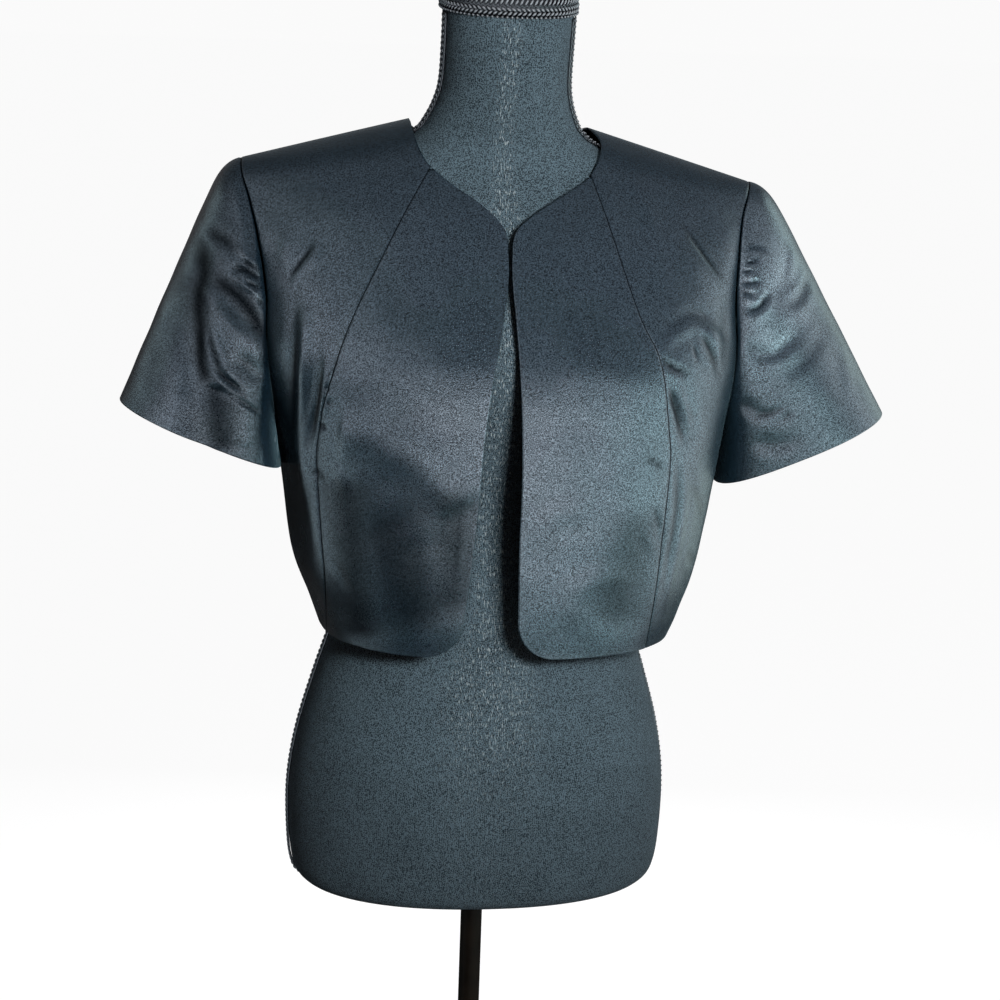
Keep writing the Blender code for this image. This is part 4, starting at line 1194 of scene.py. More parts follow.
@dataclass
class Braid:
    """Gimp braid plaited along a line: rows of slanted strands on a flat core."""

    pitch: float
    rows: tuple[BraidRow, ...]
    lift: float
    look_along: float = 0.001
    strand: PlaitStrand = field(default_factory=PlaitStrand)

    def mesh(self, name: str, line: Array, out: Array, core: Array, core_quads: Array) -> Mesh:
        """Mesh of the plaited strands and the core under them, mapped by how high the strands stand, for
        painted highlights on their tops.

        Args:
            name: name of the mesh.
            line: points along the middle of the braid.
            out: outward unit normals there.
            core: points of the flat core.
            core_quads: its quads.

        Returns:
            The mesh.
        """
        lengths = np.insert(np.cumsum(np.linalg.norm(np.diff(line, axis=0), axis=1)), 0, 0.0)
        count = max(int(lengths[-1] / self.pitch), 1)
        shape, quads = self.strand.shape()
        rise = (shape[:, 2] - shape[:, 2].min()) / np.ptp(shape[:, 2])
        points, faces, heights = [core], [core_quads], [np.zeros(len(core))]
        total = len(core)
        for row in self.rows:
            for k in range(count):
                where = lengths[-1] * (k + 0.5 + row.shift) / count % lengths[-1]
                middle = point_along(where, lengths, line)
                ahead = point_along(where + self.look_along, lengths, line)
                behind = point_along(where - self.look_along, lengths, line)
                normal = point_along(where, lengths, out)
                normal /= np.linalg.norm(normal)
                tangent = ahead - behind
                tangent -= normal * (tangent @ normal)
                tangent /= np.linalg.norm(tangent)
                across = np.cross(normal, tangent)
                way = tangent * math.cos(row.slant) + across * math.sin(row.slant)
                beside = np.cross(normal, way)
                centre = middle + across * row.offset + normal * self.lift
                points.append(centre + shape[:, :1] * way * row.length + shape[:, 1:2] * beside * row.radius
                              + shape[:, 2:] * normal * row.radius)
                faces.append(quads + total)
                heights.append(rise)
                total += len(shape)
        all_faces = np.concatenate(faces)
        height = np.repeat(np.concatenate(heights)[all_faces][..., None], 2, axis=2)
        return finish_mesh(name, np.concatenate(points), all_faces, height)


@dataclass
class DressForm:
    """Limbless dress form: padded torso under a knitted cover, with gimp braids."""

    jersey: Material
    gimp: Material
    roundness: float = 2.2
    neck_slant: float = math.radians(8.0)
    slanted_sections: int = 2
    seam: float = 0.0003
    band_share: float = 0.4
    band_clear: float = 0.07
    turn_start: float = 17.0
    turn_end: float = 19.5
    side_braid_width: float = 0.009
    core_thickness: float = 0.0010
    sides: int = 160
    ring_parts: int = 6
    cap_shares: tuple[float, ...] = (0.04, 0.3, 0.6, 0.85, 0.96, 0.99)
    side_braid_foot: float = 1.0
    side_braid_steps: int = 320
    look_around: float = 0.05
    neck_braid: Braid = field(default_factory=lambda: Braid(0.0038, (
        BraidRow(-0.0048, math.radians(64.0), 0.0078, 0.00105),
        BraidRow(0.0012, math.radians(-40.0), 0.0060, 0.00105, 0.5),
        BraidRow(0.0044, math.radians(40.0), 0.0060, 0.00105, 0.25),
        BraidRow(0.0074, math.radians(0.0), 0.0030, 0.00110, 0.75)), 0.0012))
    side_braid: Braid = field(default_factory=lambda: Braid(0.0046, (
        BraidRow(-0.0026, math.radians(46.0), 0.0052, 0.00075),
        BraidRow(0.0, math.radians(-46.0), 0.0052, 0.00080, 0.5),
        BraidRow(0.0026, math.radians(46.0), 0.0052, 0.00075)), 0.0010))

    def __post_init__(self) -> None:
        """Lay out the sections."""
        self.rows = np.array(TORSO)
        self.top = len(TORSO) - 1.0
        self.band_foot = self.top - self.band_share

    def point(self, angle: Array, place: Array) -> Array:
        """Points of the form's surface.

        Args:
            angle: 0 at the left side, running round by the front.
            place: place between the sections, 0 at the bottom edge.

        Returns:
            Array of points.
        """
        sections = TorsoSection(*np.moveaxis(smooth_rows(self.rows, place), -1, 0))
        power = 2.0 / self.roundness
        cosine, sine = np.cos(angle), np.sin(angle)
        x = np.sign(cosine) * sections.half_width * np.abs(cosine) ** power
        depth = np.where(sine > 0.0, sections.front, sections.back)
        y = sections.centre - np.sign(sine) * depth * np.abs(sine) ** power
        slanted = np.maximum(place - (self.top - self.slanted_sections), 0.0) / self.slanted_sections
        z = sections.z + slanted * math.tan(self.neck_slant) * (y - sections.centre)
        return np.stack((x, y, z), axis=-1)

    def normal(self, angle: Array, place: Array) -> Array:
        """Outward unit normals of the form's surface."""
        step = 0.01
        around = self.point(angle + step, place) - self.point(angle - step, place)
        along = (self.point(angle, np.minimum(place + step, self.top))
                 - self.point(angle, np.maximum(place - step, 0.0)))
        normals = np.cross(along, around)
        return normals / np.linalg.norm(normals, axis=-1, keepdims=True)

    def build(self) -> list[Object]:
        """Build the torso and its braids.

        Returns:
            The pieces.
        """
        pieces = [add_piece("form_cover", self.torso_mesh(), self.jersey, "jersey", "form_torso"),
                  add_piece("neck_gimp", self.neck_braid_mesh(), self.gimp, "gimp", "neck_braid")]
        for side in Side:
            node = "side_braid_" + side.word
            mesh = self.side_braid_mesh(node, side)
            pieces.append(add_piece(node + "_gimp", mesh, self.gimp, "gimp", node))
        return pieces

    def torso_mesh(self) -> Mesh:
        """Closed torso: rings round its sections, closed under it and at the neck's top by rings."""
        angles = np.linspace(0.0, 2.0 * math.pi, self.sides, endpoint=False)
        places = refine(np.arange(len(TORSO)).tolist(), self.ring_parts)
        rings = self.point(angles[None, :], places[:, None] * np.ones_like(angles))
        caps = []
        for ring in (rings[0], rings[-1]):
            centre = ring.mean(axis=0)
            caps.append([centre + (ring - centre) * share for share in self.cap_shares])
        grid = np.array(caps[0] + list(rings) + caps[1][::-1])
        ringed = np.concatenate((grid, grid[:, :1]), axis=1)
        flat = np.stack((run_lengths(ringed, 1), run_lengths(ringed, 0)), axis=-1)
        cut = np.stack((flat[:-1, :-1], flat[:-1, 1:], flat[1:, 1:], flat[1:, :-1]), axis=2)
        return tube_mesh("form_cover", grid, cut.reshape(-1, 4, 2))

    def neck_braid_mesh(self) -> Mesh:
        """Braid round the top of the neck, on a core that follows the neck."""
        angles = np.linspace(0.0, 2.0 * math.pi, self.sides + 1)
        top = self.point(angles, np.full_like(angles, self.top))
        foot = self.point(angles, np.full_like(angles, self.band_foot))
        out = self.normal(angles, np.full_like(angles, (self.top + self.band_foot) / 2.0))
        loops = []
        for drop, lift in ((0.0, 0.0), (0.0, 1.0), (1.0, 1.0), (1.0, 0.0)):
            loops.append(top + (foot - top) * drop + out * (self.seam + self.core_thickness * lift))
        core, quads = strip_of(np.array(loops)[:, :-1], True)
        line = (top + foot) / 2.0 + out * self.seam
        return self.neck_braid.mesh("neck_gimp", line, out, core, quads)

    def side_braid_mesh(self, name: str, side: Side) -> Mesh:
        """Braid down one side, from under the neck band to the bottom edge.

        Args:
            name: name of the mesh.
            side: side of the form.

        Returns:
            The mesh.
        """
        places = np.linspace(self.side_braid_foot, self.band_foot - self.band_clear, self.side_braid_steps)
        turned = smooth_step((places - self.turn_start) / (self.turn_end - self.turn_start))
        angles = BRAID_FORWARD[side] * turned
        if side is Side.RIGHT:
            angles = math.pi - angles
        line = self.point(angles, places)
        out = self.normal(angles, places)
        around = (self.point(angles + self.look_around, places)
                  - self.point(angles - self.look_around, places))
        around *= self.side_braid_width / 2.0 / np.linalg.norm(around, axis=1, keepdims=True)
        loops = []
        for across, lift in ((-1.0, 0.0), (-1.0, 1.0), (1.0, 1.0), (1.0, 0.0)):
            loops.append(line + around * across + out * (self.seam + self.core_thickness * lift))
        core, quads = strip_of(np.array(loops), False)
        return self.side_braid.mesh(name, line + out * self.seam, out, core, quads)


def strip_of(loops: Array, closed: bool) -> tuple[Array, Array]:
    """Points and quads of a strip with a four-cornered section.

    Args:
        loops: its four long edges.
        closed: whether it meets its own start.

    Returns:
        Points and quads.
    """
    edges, count = loops.shape[:2]
    steps = count if closed else count - 1
    edge, step = (part.ravel() for part in np.mgrid[0:edges, 0:steps])
    beside, after = (edge + 1) % edges, (step + 1) % count
    quads = np.stack((edge * count + step, edge * count + after,
                      beside * count + after, beside * count + step), axis=1)
    if not closed:
        corners = np.arange(edges) * count
        quads = np.concatenate((quads, [corners, (corners + count - 1)[::-1]]))
    return loops.reshape(-1, 3), quads


def tube_mesh(name: str, grid: Array, cut: Array) -> Mesh:
    """Mesh of a tube with a face at each end.

    Args:
        name: name of the mesh.
        grid: its points, as rows of rings.
        cut: place of each quad's four corners in the map.

    Returns:
        The mesh, smooth shaded.
    """
    rows, columns = grid.shape[:2]
    mesh = finish_mesh(name, grid.reshape(-1, 3), ring_quads(rows, columns), cut)
    shape = bmesh.new()
    shape.from_mesh(mesh)
    shape.verts.ensure_lookup_table()
    for row in (0, rows - 1):
        shape.faces.new([shape.verts[row * columns + k] for k in range(columns)])
    bmesh.ops.recalc_face_normals(shape, faces=shape.faces[:])
    shape.to_mesh(mesh)
    shape.free()
    mesh.shade_smooth()
    return mesh


@dataclass
class Stand:
    """Pole and round base."""

    material: Material
    pole_radius: float = 0.0095
    pole_low: float = 0.0203
    pole_high: float = 0.754
    base_radius: float = 0.170
    base_edge: float = 0.006
    base_dome: float = 0.022
    base_round: float = 0.002
    collar_radius: float = 0.019
    collar_top: float = 0.070
    socket_floor: float = 0.020
    gap: float = 0.0003
    sides: int = 96
    centre_hole: float = 0.0002
    pole_round: float = 0.0010
    pole_rows: int = 40
    foot_round: float = 0.0006
    round_steps: int = 6
    dome_steps: int = 24
    dome_meets: float = 0.2
    sharp_from: float = math.radians(40.0)

    def build(self) -> list[Object]:
        """Build the pole and the base.

        Returns:
            The pieces.
        """
        radius, high, low, turned_in = self.pole_radius, self.pole_high, self.pole_low, self.pole_round
        pole = [(self.centre_hole, high), (radius - 0.8 * turned_in, high),
                (radius - 0.2 * turned_in, high - 0.3 * turned_in), (radius, high - turned_in)]
        heights = np.linspace(high - 2.0 * turned_in, low + turned_in, self.pole_rows)
        pole += [(radius, float(z)) for z in heights]
        pole += [(radius - turned_in, low), (self.centre_hole, low)]
        return [add_piece("pole_tube", self.turned("pole_tube", pole), self.material, "steel", "pole"),
                add_piece("base_plate", self.turned("base_plate", self.base_profile()), self.material,
                          "steel", "base")]

    def base_profile(self) -> list[tuple[float, float]]:
        """Half section of the base, from its socket over the dome to its underside."""
        socket = self.pole_radius + self.gap
        profile = [(self.centre_hole, self.socket_floor), (socket, self.socket_floor),
                   (socket, self.collar_top)]
        profile += self.rounded(self.collar_radius, self.collar_top, 0.0)
        for share in np.linspace(0.0, 1.0, self.dome_steps):
            radius = self.collar_radius + (self.base_radius - self.base_round - self.collar_radius) * share
            profile.append((radius, self.base_edge + self.base_dome * (1.0 - share) ** 2))
        profile += self.rounded(self.base_radius, self.base_edge, self.dome_meets)
        return profile + [(self.base_radius, self.foot_round), (self.base_radius - self.foot_round, 0.0),
                          (self.centre_hole, 0.0)]

    def rounded(self, radius: float, top: float, start: float) -> list[tuple[float, float]]:
        """Rounded upper edge of the base or its collar, from a start angle to the vertical."""
        angles = np.linspace(start, RIGHT_ANGLE, self.round_steps)
        return [(radius - self.base_round * (1.0 - math.sin(angle)),
                 top - self.base_round * (1.0 - math.cos(angle))) for angle in angles]

    def turned(self, name: str, profile: list[tuple[float, float]]) -> Mesh:
        """Closed mesh turned from a profile of (radius, height).

        Args:
            name: name of the mesh.
            profile: the profile's points.

        Returns:
            The mesh.
        """
        turn = np.linspace(0.0, 2.0 * math.pi, self.sides, endpoint=False)
        table = np.array(profile)
        radius, height = table[:, :1], table[:, 1:]
        grid = np.stack((radius * np.cos(turn), radius * np.sin(turn), height + 0.0 * turn), axis=-1)
        mesh = tube_mesh(name, grid, np.zeros(((len(profile) - 1) * self.sides, 4, 2)))
        mesh.set_sharp_from_angle(angle=self.sharp_from)
        return mesh


class NodeBench:
    """Adds and links shader nodes in one tree."""

    def __init__(self, tree: NodeTree) -> None:
        """Keep the tree."""
        self.tree = tree

    def add(self, kind: str, inputs: dict | None = None, **settings) -> Node:
        """Add a node.

        Args:
            kind: the node's type.
            inputs: values or sockets for its inputs, by name or number.
            settings: the node's own settings.

        Returns:
            The node.
        """
        node = self.tree.nodes.new(kind)
        for key, value in settings.items():
            setattr(node, key, value)
        for key, value in (inputs or {}).items():
            if isinstance(value, NodeSocket):
                self.tree.links.new(value, node.inputs[key])
            else:
                node.inputs[key].default_value = value
        return node

    def group(self, tree: NodeTree, inputs: dict) -> Node:
        """Place a shared group, with values for its inputs by name."""
        return self.add("ShaderNodeGroup", inputs, node_tree=tree)

    def math(self, operation: str, first: Input, second: Input = 0.0, third: Input = 0.0) -> NodeSocket:
        """Add a Math node and give its result."""
        return self.add("ShaderNodeMath", {0: first, 1: second, 2: third}, operation=operation).outputs[0]

    def mix(self, share: Input, first: Input, second: Input) -> NodeSocket:
        """Mix two colours and give the result."""
        node = self.add("ShaderNodeMix", {0: share, 6: first, 7: second}, data_type="RGBA")
        return node.outputs[2]

    def ramp(self, value: Input, low: float, high: float, first: float = 0.0,
             last: float = 1.0) -> NodeSocket:
        """Map a value smoothly from one range to another and give the result."""
        node = self.add("ShaderNodeMapRange", {0: value, 1: low, 2: high, 3: first, 4: last},
                        interpolation_type="SMOOTHSTEP")
        return node.outputs[0]

    def noise(self, vector: Input, scale: Input, detail: float) -> NodeSocket:
        """Add a Noise Texture and give its value."""
        inputs = {"Vector": vector, "Scale": scale, "Detail": detail}
        return self.add("ShaderNodeTexNoise", inputs).outputs[0]

    def stretch(self, vector: Input, scale: tuple[float, float, float]) -> NodeSocket:
        """Scale a vector and give the result."""
        return self.add("ShaderNodeMapping", {"Vector": vector, "Scale": scale}).outputs[0]


class SharedEffects:
    """Node groups that more than one material uses."""

    weave_slant = 0.4
    weft_share = 0.5
    weave_swing = 0.33
    weave_middle = 0.5
    mottle_range = (0.3, 0.7)
    speck_range = (0.05, 0.22)

    def __init__(self) -> None:
        """Build the groups once."""
        self.weave = self.make_weave()
        self.mottle = self.make_mottle()
        self.lint = self.make_lint()

    @staticmethod
    def start(name: str, inputs: dict[str, tuple[str, float]], outputs: Sequence[str]) -> GroupStart:
        """Start a group.

        Args:
            name: name of the group.
            inputs: socket type and default value by name.
            outputs: names of the values that it puts out.

        Returns:
            The tree, a bench for it, its input node and its output node.
        """
        tree = bpy.data.node_groups.new(name, "ShaderNodeTree")
        for word, (kind, value) in inputs.items():
            socket = tree.interface.new_socket(name=word, in_out="INPUT", socket_type=kind)
            if kind == "NodeSocketFloat":
                socket.default_value = value
        for word in outputs:
            tree.interface.new_socket(name=word, in_out="OUTPUT", socket_type="NodeSocketFloat")
        bench = NodeBench(tree)
        return tree, bench, bench.add("NodeGroupInput"), bench.add("NodeGroupOutput")

    def make_weave(self) -> NodeTree:
        """Threads that cross: long floats one way and short ones the other, as heights from 0 to 1."""
        tree, bench, source, result = self.start(
            "thread_weave", {"Cut": ("NodeSocketVector", 0.0), "Threads": ("NodeSocketFloat", 1400.0),
                             "Float": ("NodeSocketFloat", 0.2)}, ("Height",))
        parts = bench.add("ShaderNodeSeparateXYZ", {0: source.outputs["Cut"]})
        whole = bench.math("MULTIPLY", source.outputs["Threads"], 2.0 * math.pi)
        warp = bench.math("SINE", bench.math("MULTIPLY", parts.outputs[0], whole))
        slow = bench.math("MULTIPLY", whole, source.outputs["Float"])
        across = bench.math("MULTIPLY", whole, self.weave_slant)
        along = bench.math("MULTIPLY", parts.outputs[1], slow)
        slant = bench.math("MULTIPLY_ADD", parts.outputs[0], across, along)
        weft = bench.math("SINE", slant)
        both = bench.math("MULTIPLY_ADD", weft, self.weft_share, warp)
        height = bench.math("MULTIPLY_ADD", both, self.weave_swing, self.weave_middle)
        tree.links.new(height, result.inputs["Height"])
        return tree

    def make_mottle(self) -> NodeTree:
        """Slow and fast unevenness, each from 0 to 1."""
        tree, bench, source, result = self.start(
            "cloth_mottle", {"Place": ("NodeSocketVector", 0.0), "Slow": ("NodeSocketFloat", 30.0),
                             "Fast": ("NodeSocketFloat", 700.0)}, ("Slow", "Fast"))
        for word, detail in (("Slow", 3.0), ("Fast", 2.0)):
            value = bench.noise(source.outputs["Place"], source.outputs[word], detail)
            tree.links.new(bench.ramp(value, *self.mottle_range), result.inputs[word])
        return tree

    def make_lint(self) -> NodeTree:
        """Sparse light specks of dust and loose fibre, as a mask."""
        tree, bench, source, result = self.start(
            "lint_specks", {"Place": ("NodeSocketVector", 0.0), "Scale": ("NodeSocketFloat", 260.0),
                            "Amount": ("NodeSocketFloat", 0.06)}, ("Mask",))
        cells = bench.add("ShaderNodeTexVoronoi", {"Vector": source.outputs["Place"],
                                                   "Scale": source.outputs["Scale"]})
        chosen = bench.math("LESS_THAN", cells.outputs["Color"], source.outputs["Amount"])
        near = bench.ramp(cells.outputs["Distance"], *self.speck_range, 1.0, 0.0)
        tree.links.new(bench.math("MULTIPLY", chosen, near), result.inputs["Mask"])
        return tree


@dataclass(frozen=True)
class SatinFinish:
    """Charcoal cotton satin: a dark ground under a cool sheen, broken up by the grain of the weave, with
    painted shade and shine.
    """

    dark: tuple = (0.0002, 0.0012, 0.0024, 1.0)
    light: tuple = (0.0056, 0.0172, 0.0290, 1.0)
    # Colour of the painted shade in creases, along seams and in shallow hollows.
    painted_shade_colour: tuple = (0.0004, 0.0014, 0.0026, 1.0)
    lint: tuple = (0.16, 0.18, 0.20, 1.0)
    roughness: float = 0.255
    specular: float = 0.68
    specular_tint: tuple = (0.71, 0.89, 1.0, 1.0)
    # Sheen weight, which painted shine raises and painted shade lowers.
    grain: float = 0.70
    sheen_and_painted_shine: float = 0.05
    bloom_tint: tuple = (0.5, 0.85, 1.0, 1.0)
    # How far painted shade dims the gloss, and the cap on painted shine.
    deepest: float = 0.92
    painted_shine_cap: float = 2.3
    threads: float = 1500.0
    lint_share: float = 0.4
    rough_spread: float = 0.06
    weave_share: float = 0.35

    def material(self, effects: SharedEffects) -> Material:
        """Build the material.

        Args:
            effects: the shared node groups.

        Returns:
            The material.
        """
        material, bench, shader = start_material("charcoal_satin")
        place = bench.add("ShaderNodeTexCoord").outputs["Object"]
        cut = bench.add("ShaderNodeUVMap", uv_map=CUT_MAP).outputs[0]
        mottle = bench.group(effects.mottle, {"Place": place, "Slow": 24.0, "Fast": 1000.0})
        weave = bench.group(effects.weave, {"Cut": cut, "Threads": self.threads, "Float": 0.2})
        lint = bench.group(effects.lint, {"Place": place, "Scale": 240.0, "Amount": 0.012})
        ground = bench.mix(mottle.outputs["Fast"], self.dark, self.light)
        # Painted shade darkens the ground colour and dims gloss and sheen; below 0 it adds painted shine.
        shade = bench.add("ShaderNodeAttribute", attribute_name=SHADE).outputs["Fac"]
        shaded = bench.mix(shade, ground, self.painted_shade_colour)
        colour = bench.mix(bench.math("MULTIPLY", lint.outputs["Mask"], self.lint_share), shaded, self.lint)
        rough = bench.math("MULTIPLY_ADD", mottle.outputs["Slow"], self.rough_spread,
                           self.roughness - self.rough_spread / 2.0)
        painted_light_gain = bench.math("MULTIPLY_ADD", shade, -self.deepest, 1.0)
        grain = bench.math("MULTIPLY_ADD", mottle.outputs["Fast"], self.grain * 2.0 * self.specular,
                           self.specular * (1.0 - self.grain))
        gloss = bench.math("MULTIPLY", grain, bench.math("MINIMUM", painted_light_gain, self.painted_shine_cap))
        sheen_and_painted_shine = bench.math("MULTIPLY", painted_light_gain, self.sheen_and_painted_shine)
        height = bench.math("MULTIPLY_ADD", weave.outputs["Height"], self.weave_share,
                            bench.math("MULTIPLY", mottle.outputs["Fast"], 1.0 - self.weave_share))
        bump = bench.add("ShaderNodeBump", {"Height": height, "Strength": 0.20, "Distance": 0.0006})
        link_shader(bench, shader, {"Base Color": colour, "Roughness": rough, "Specular IOR Level": gloss,
                                    "Sheen Weight": sheen_and_painted_shine, "Normal": bump.outputs[0]},
                    {"Specular Tint": self.specular_tint, "Sheen Roughness": 0.45,
                     "Sheen Tint": self.bloom_tint})
        return material


@dataclass(frozen=True)
class JerseyFinish:
    """Black knitted cover with a pale grain and fine ribs, worn in streaks down the centre front."""

    dark: tuple = (0.002, 0.003, 0.005, 1.0)
    light: tuple = (0.090, 0.132, 0.158, 1.0)
    streak: tuple = (0.40, 0.46, 0.47, 1.0)
    roughness: float = 0.86
    centre: float = -0.004
    hip_half: float = 0.055
    gap_half: float = 0.022
    neck_half: float = 0.011
    rib: float = 0.30
    patch: float = 0.08
    pale_grain: float = 0.68
    grain_range: tuple = (0.25, 0.75)
    # Painted light: the cover is made paler towards the waist, standing in for the light on the tops of the
    # hips.
    painted_light_heights: tuple = (0.74, 0.93)
    hip_painted_light: tuple = (0.80, 1.16)
    neck_heights: tuple = (1.26, 1.36)
    waist_heights: tuple = (0.90, 0.98)
    streak_edge: tuple = (0.3, 1.0)
    front_depths: tuple = (-0.060, -0.030)
    fade_heights: tuple = (0.78, 0.93)
    least_worn: float = 0.10
    thread_stretch: tuple = (1.0, 0.0, 0.18)
    thread_scale: float = 1150.0
    thread_range: tuple = (0.58, 0.68)
    wear: float = 0.60
    dust: float = 0.22

    def material(self, effects: SharedEffects) -> Material:
        """Build the material.

        Args:
            effects: the shared node groups.

        Returns:
            The material.
        """
        material, bench, shader = start_material("black_jersey")
        place = bench.add("ShaderNodeTexCoord").outputs["Object"]
        cut = bench.add("ShaderNodeUVMap", uv_map=CUT_MAP).outputs[0]
        mottle = bench.group(effects.mottle, {"Place": place, "Slow": 22.0, "Fast": 1050.0})
        weave = bench.group(effects.weave, {"Cut": cut, "Threads": 560.0, "Float": 0.9})
        lint = bench.group(effects.lint, {"Place": place, "Scale": 330.0, "Amount": 0.04})
        ribbed = bench.math("MULTIPLY_ADD", weave.outputs["Height"], self.rib,
                            bench.math("MULTIPLY", mottle.outputs["Slow"], self.patch))
        pale = bench.ramp(mottle.outputs["Fast"], *self.grain_range)
        grain = bench.math("MULTIPLY_ADD", pale, self.pale_grain, ribbed)
        parts = bench.add("ShaderNodeSeparateXYZ", {0: place})
        # Painted light on the hips, paler towards the waist.
        paler = bench.ramp(parts.outputs[2], *self.painted_light_heights, *self.hip_painted_light)
        ground = bench.mix(bench.math("MULTIPLY", grain, paler), self.dark, self.light)
        off = bench.math("ABSOLUTE", bench.math("SUBTRACT", parts.outputs[0], self.centre))
        upper = bench.ramp(parts.outputs[2], *self.neck_heights, self.gap_half, self.neck_half)
        lower = bench.ramp(parts.outputs[2], *self.waist_heights, self.hip_half - self.gap_half, 0.0)
        half = bench.math("ADD", upper, lower)
        band = bench.ramp(bench.math("DIVIDE", off, half), *self.streak_edge, 1.0, 0.0)
        front = bench.ramp(parts.outputs[1], *self.front_depths, 1.0, 0.0)
        low = bench.ramp(parts.outputs[2], *self.fade_heights, self.least_worn, 1.0)
        streaks = bench.noise(bench.stretch(place, self.thread_stretch), self.thread_scale, 1.0)
        threads = bench.ramp(streaks, *self.thread_range)
        zone = bench.math("MULTIPLY", bench.math("MULTIPLY", band, front), low)
        worn = bench.math("MULTIPLY", zone, threads)
        specks = bench.math("MAXIMUM", bench.math("MULTIPLY", worn, self.wear),
                            bench.math("MULTIPLY", lint.outputs["Mask"], self.dust))
        colour = bench.mix(specks, ground, self.streak)
        bump = bench.add("ShaderNodeBump", {"Height": grain, "Strength": 0.45, "Distance": 0.0008})
        link_shader(bench, shader, {"Base Color": colour, "Normal": bump.outputs[0]},
                    {"Roughness": self.roughness, "Specular IOR Level": 0.05, "Sheen Weight": 0.03,
                     "Sheen Roughness": 0.5, "Sheen Tint": (0.8, 0.9, 1.0, 1.0)})
        return material


@dataclass(frozen=True)
class GimpFinish:
    """Black plaited cord, silky, with painted highlights along the tops of its strands."""

    dark: tuple = (0.0012, 0.0014, 0.0018, 1.0)
    # Colour of the painted highlights on the strands' tops.
    light: tuple = (0.22, 0.23, 0.25, 1.0)
    roughness: float = 0.24
    strand_top_highlight: tuple = (0.60, 0.98)
    wear: float = 0.5
    specular_tint: tuple = (0.76, 0.90, 1.0, 1.0)

    def material(self, effects: SharedEffects) -> Material:
        """Build the material.

        Args:
            effects: the shared node groups.

        Returns:
            The material.
        """
        material, bench, shader = start_material("gimp_braid")
        place = bench.add("ShaderNodeTexCoord").outputs["Object"]
        mottle = bench.group(effects.mottle, {"Place": place, "Slow": 60.0, "Fast": 1500.0})
        rise = bench.add("ShaderNodeSeparateXYZ",
                         {0: bench.add("ShaderNodeUVMap", uv_map=CUT_MAP).outputs[0]}).outputs[0]
        # Painted highlight on the strands' tops, broken up unevenly by the mottle.
        worn = bench.math("MULTIPLY_ADD", mottle.outputs["Fast"], self.wear, 1.0 - self.wear)
        pale = bench.math("MULTIPLY", bench.ramp(rise, *self.strand_top_highlight), worn)
        colour = bench.mix(pale, self.dark, self.light)
        bump = bench.add("ShaderNodeBump", {"Height": mottle.outputs["Fast"], "Strength": 0.4,
                                            "Distance": 0.0004})
        link_shader(bench, shader, {"Base Color": colour, "Normal": bump.outputs[0]},
                    {"Roughness": self.roughness, "Specular IOR Level": 1.0,
                     "Specular Tint": self.specular_tint})
        return material


@dataclass(frozen=True)
class PaintFinish:
    """Dark brown-black satin paint on steel, a little rubbed."""

    dark: tuple = (0.0018, 0.0011, 0.0005, 1.0)
    light: tuple = (0.0040, 0.0026, 0.0014, 1.0)
    dust: tuple = (0.2, 0.19, 0.18, 1.0)
    dust_share: float = 0.15
    roughness: float = 0.42
    rough_spread: float = 0.14

    def material(self, effects: SharedEffects) -> Material:
        """Build the material.

        Args:
            effects: the shared node groups.

        Returns:
            The material.
        """
        material, bench, shader = start_material("painted_steel")
        place = bench.add("ShaderNodeTexCoord").outputs["Object"]
        mottle = bench.group(effects.mottle, {"Place": place, "Slow": 40.0, "Fast": 1100.0})
        lint = bench.group(effects.lint, {"Place": place, "Scale": 200.0, "Amount": 0.03})
        ground = bench.mix(mottle.outputs["Slow"], self.dark, self.light)
        dusty = bench.math("MULTIPLY", lint.outputs["Mask"], self.dust_share)
        colour = bench.mix(dusty, ground, self.dust)
        rough = bench.math("MULTIPLY_ADD", mottle.outputs["Slow"], self.rough_spread,
                           self.roughness - self.rough_spread / 2.0)
        bump = bench.add("ShaderNodeBump", {"Height": mottle.outputs["Fast"], "Strength": 0.12,
                                            "Distance": 0.0003})
        link_shader(bench, shader, {"Base Color": colour, "Roughness": rough, "Normal": bump.outputs[0]},
                    {"Specular IOR Level": 0.05})
        return material


def start_material(name: str) -> tuple[Material, NodeBench, Node]:
    """New material with its bench and its Principled shader."""
    material = bpy.data.materials.new(name)
    material.use_nodes = True
    return material, NodeBench(material.node_tree), material.node_tree.nodes["Principled BSDF"]


def link_shader(bench: NodeBench, shader: Node, linked: dict, plain: dict) -> None:
    """Link what varies over the surface to a shader and set what doesn't on its own sockets.

    Args:
        bench: the material's bench.
        shader: the shader node.
        linked: sockets by the shader's input.
        plain: constant values by the shader's input.
    """
    for key, value in linked.items():
        bench.tree.links.new(value, shader.inputs[key])
    for key, value in plain.items():
        shader.inputs[key].default_value = value


class LampUse(Enum):
    """What a lamp is for: the sheen of the satin, or the body of all surfaces."""

    SHEEN = "seen in gloss only"
    BODY = "seen in matt surfaces only"


class Lamp(NamedTuple):
    """Soft panel of light that faces the jacket: its direction, distance, size and brightness."""

    name: str
    use: LampUse
    azimuth: float
    elevation: float
    distance: float
    width: float
    height: float
    radiance: float
    tint: tuple[float, float, float] = (0.90, 0.98, 1.0)


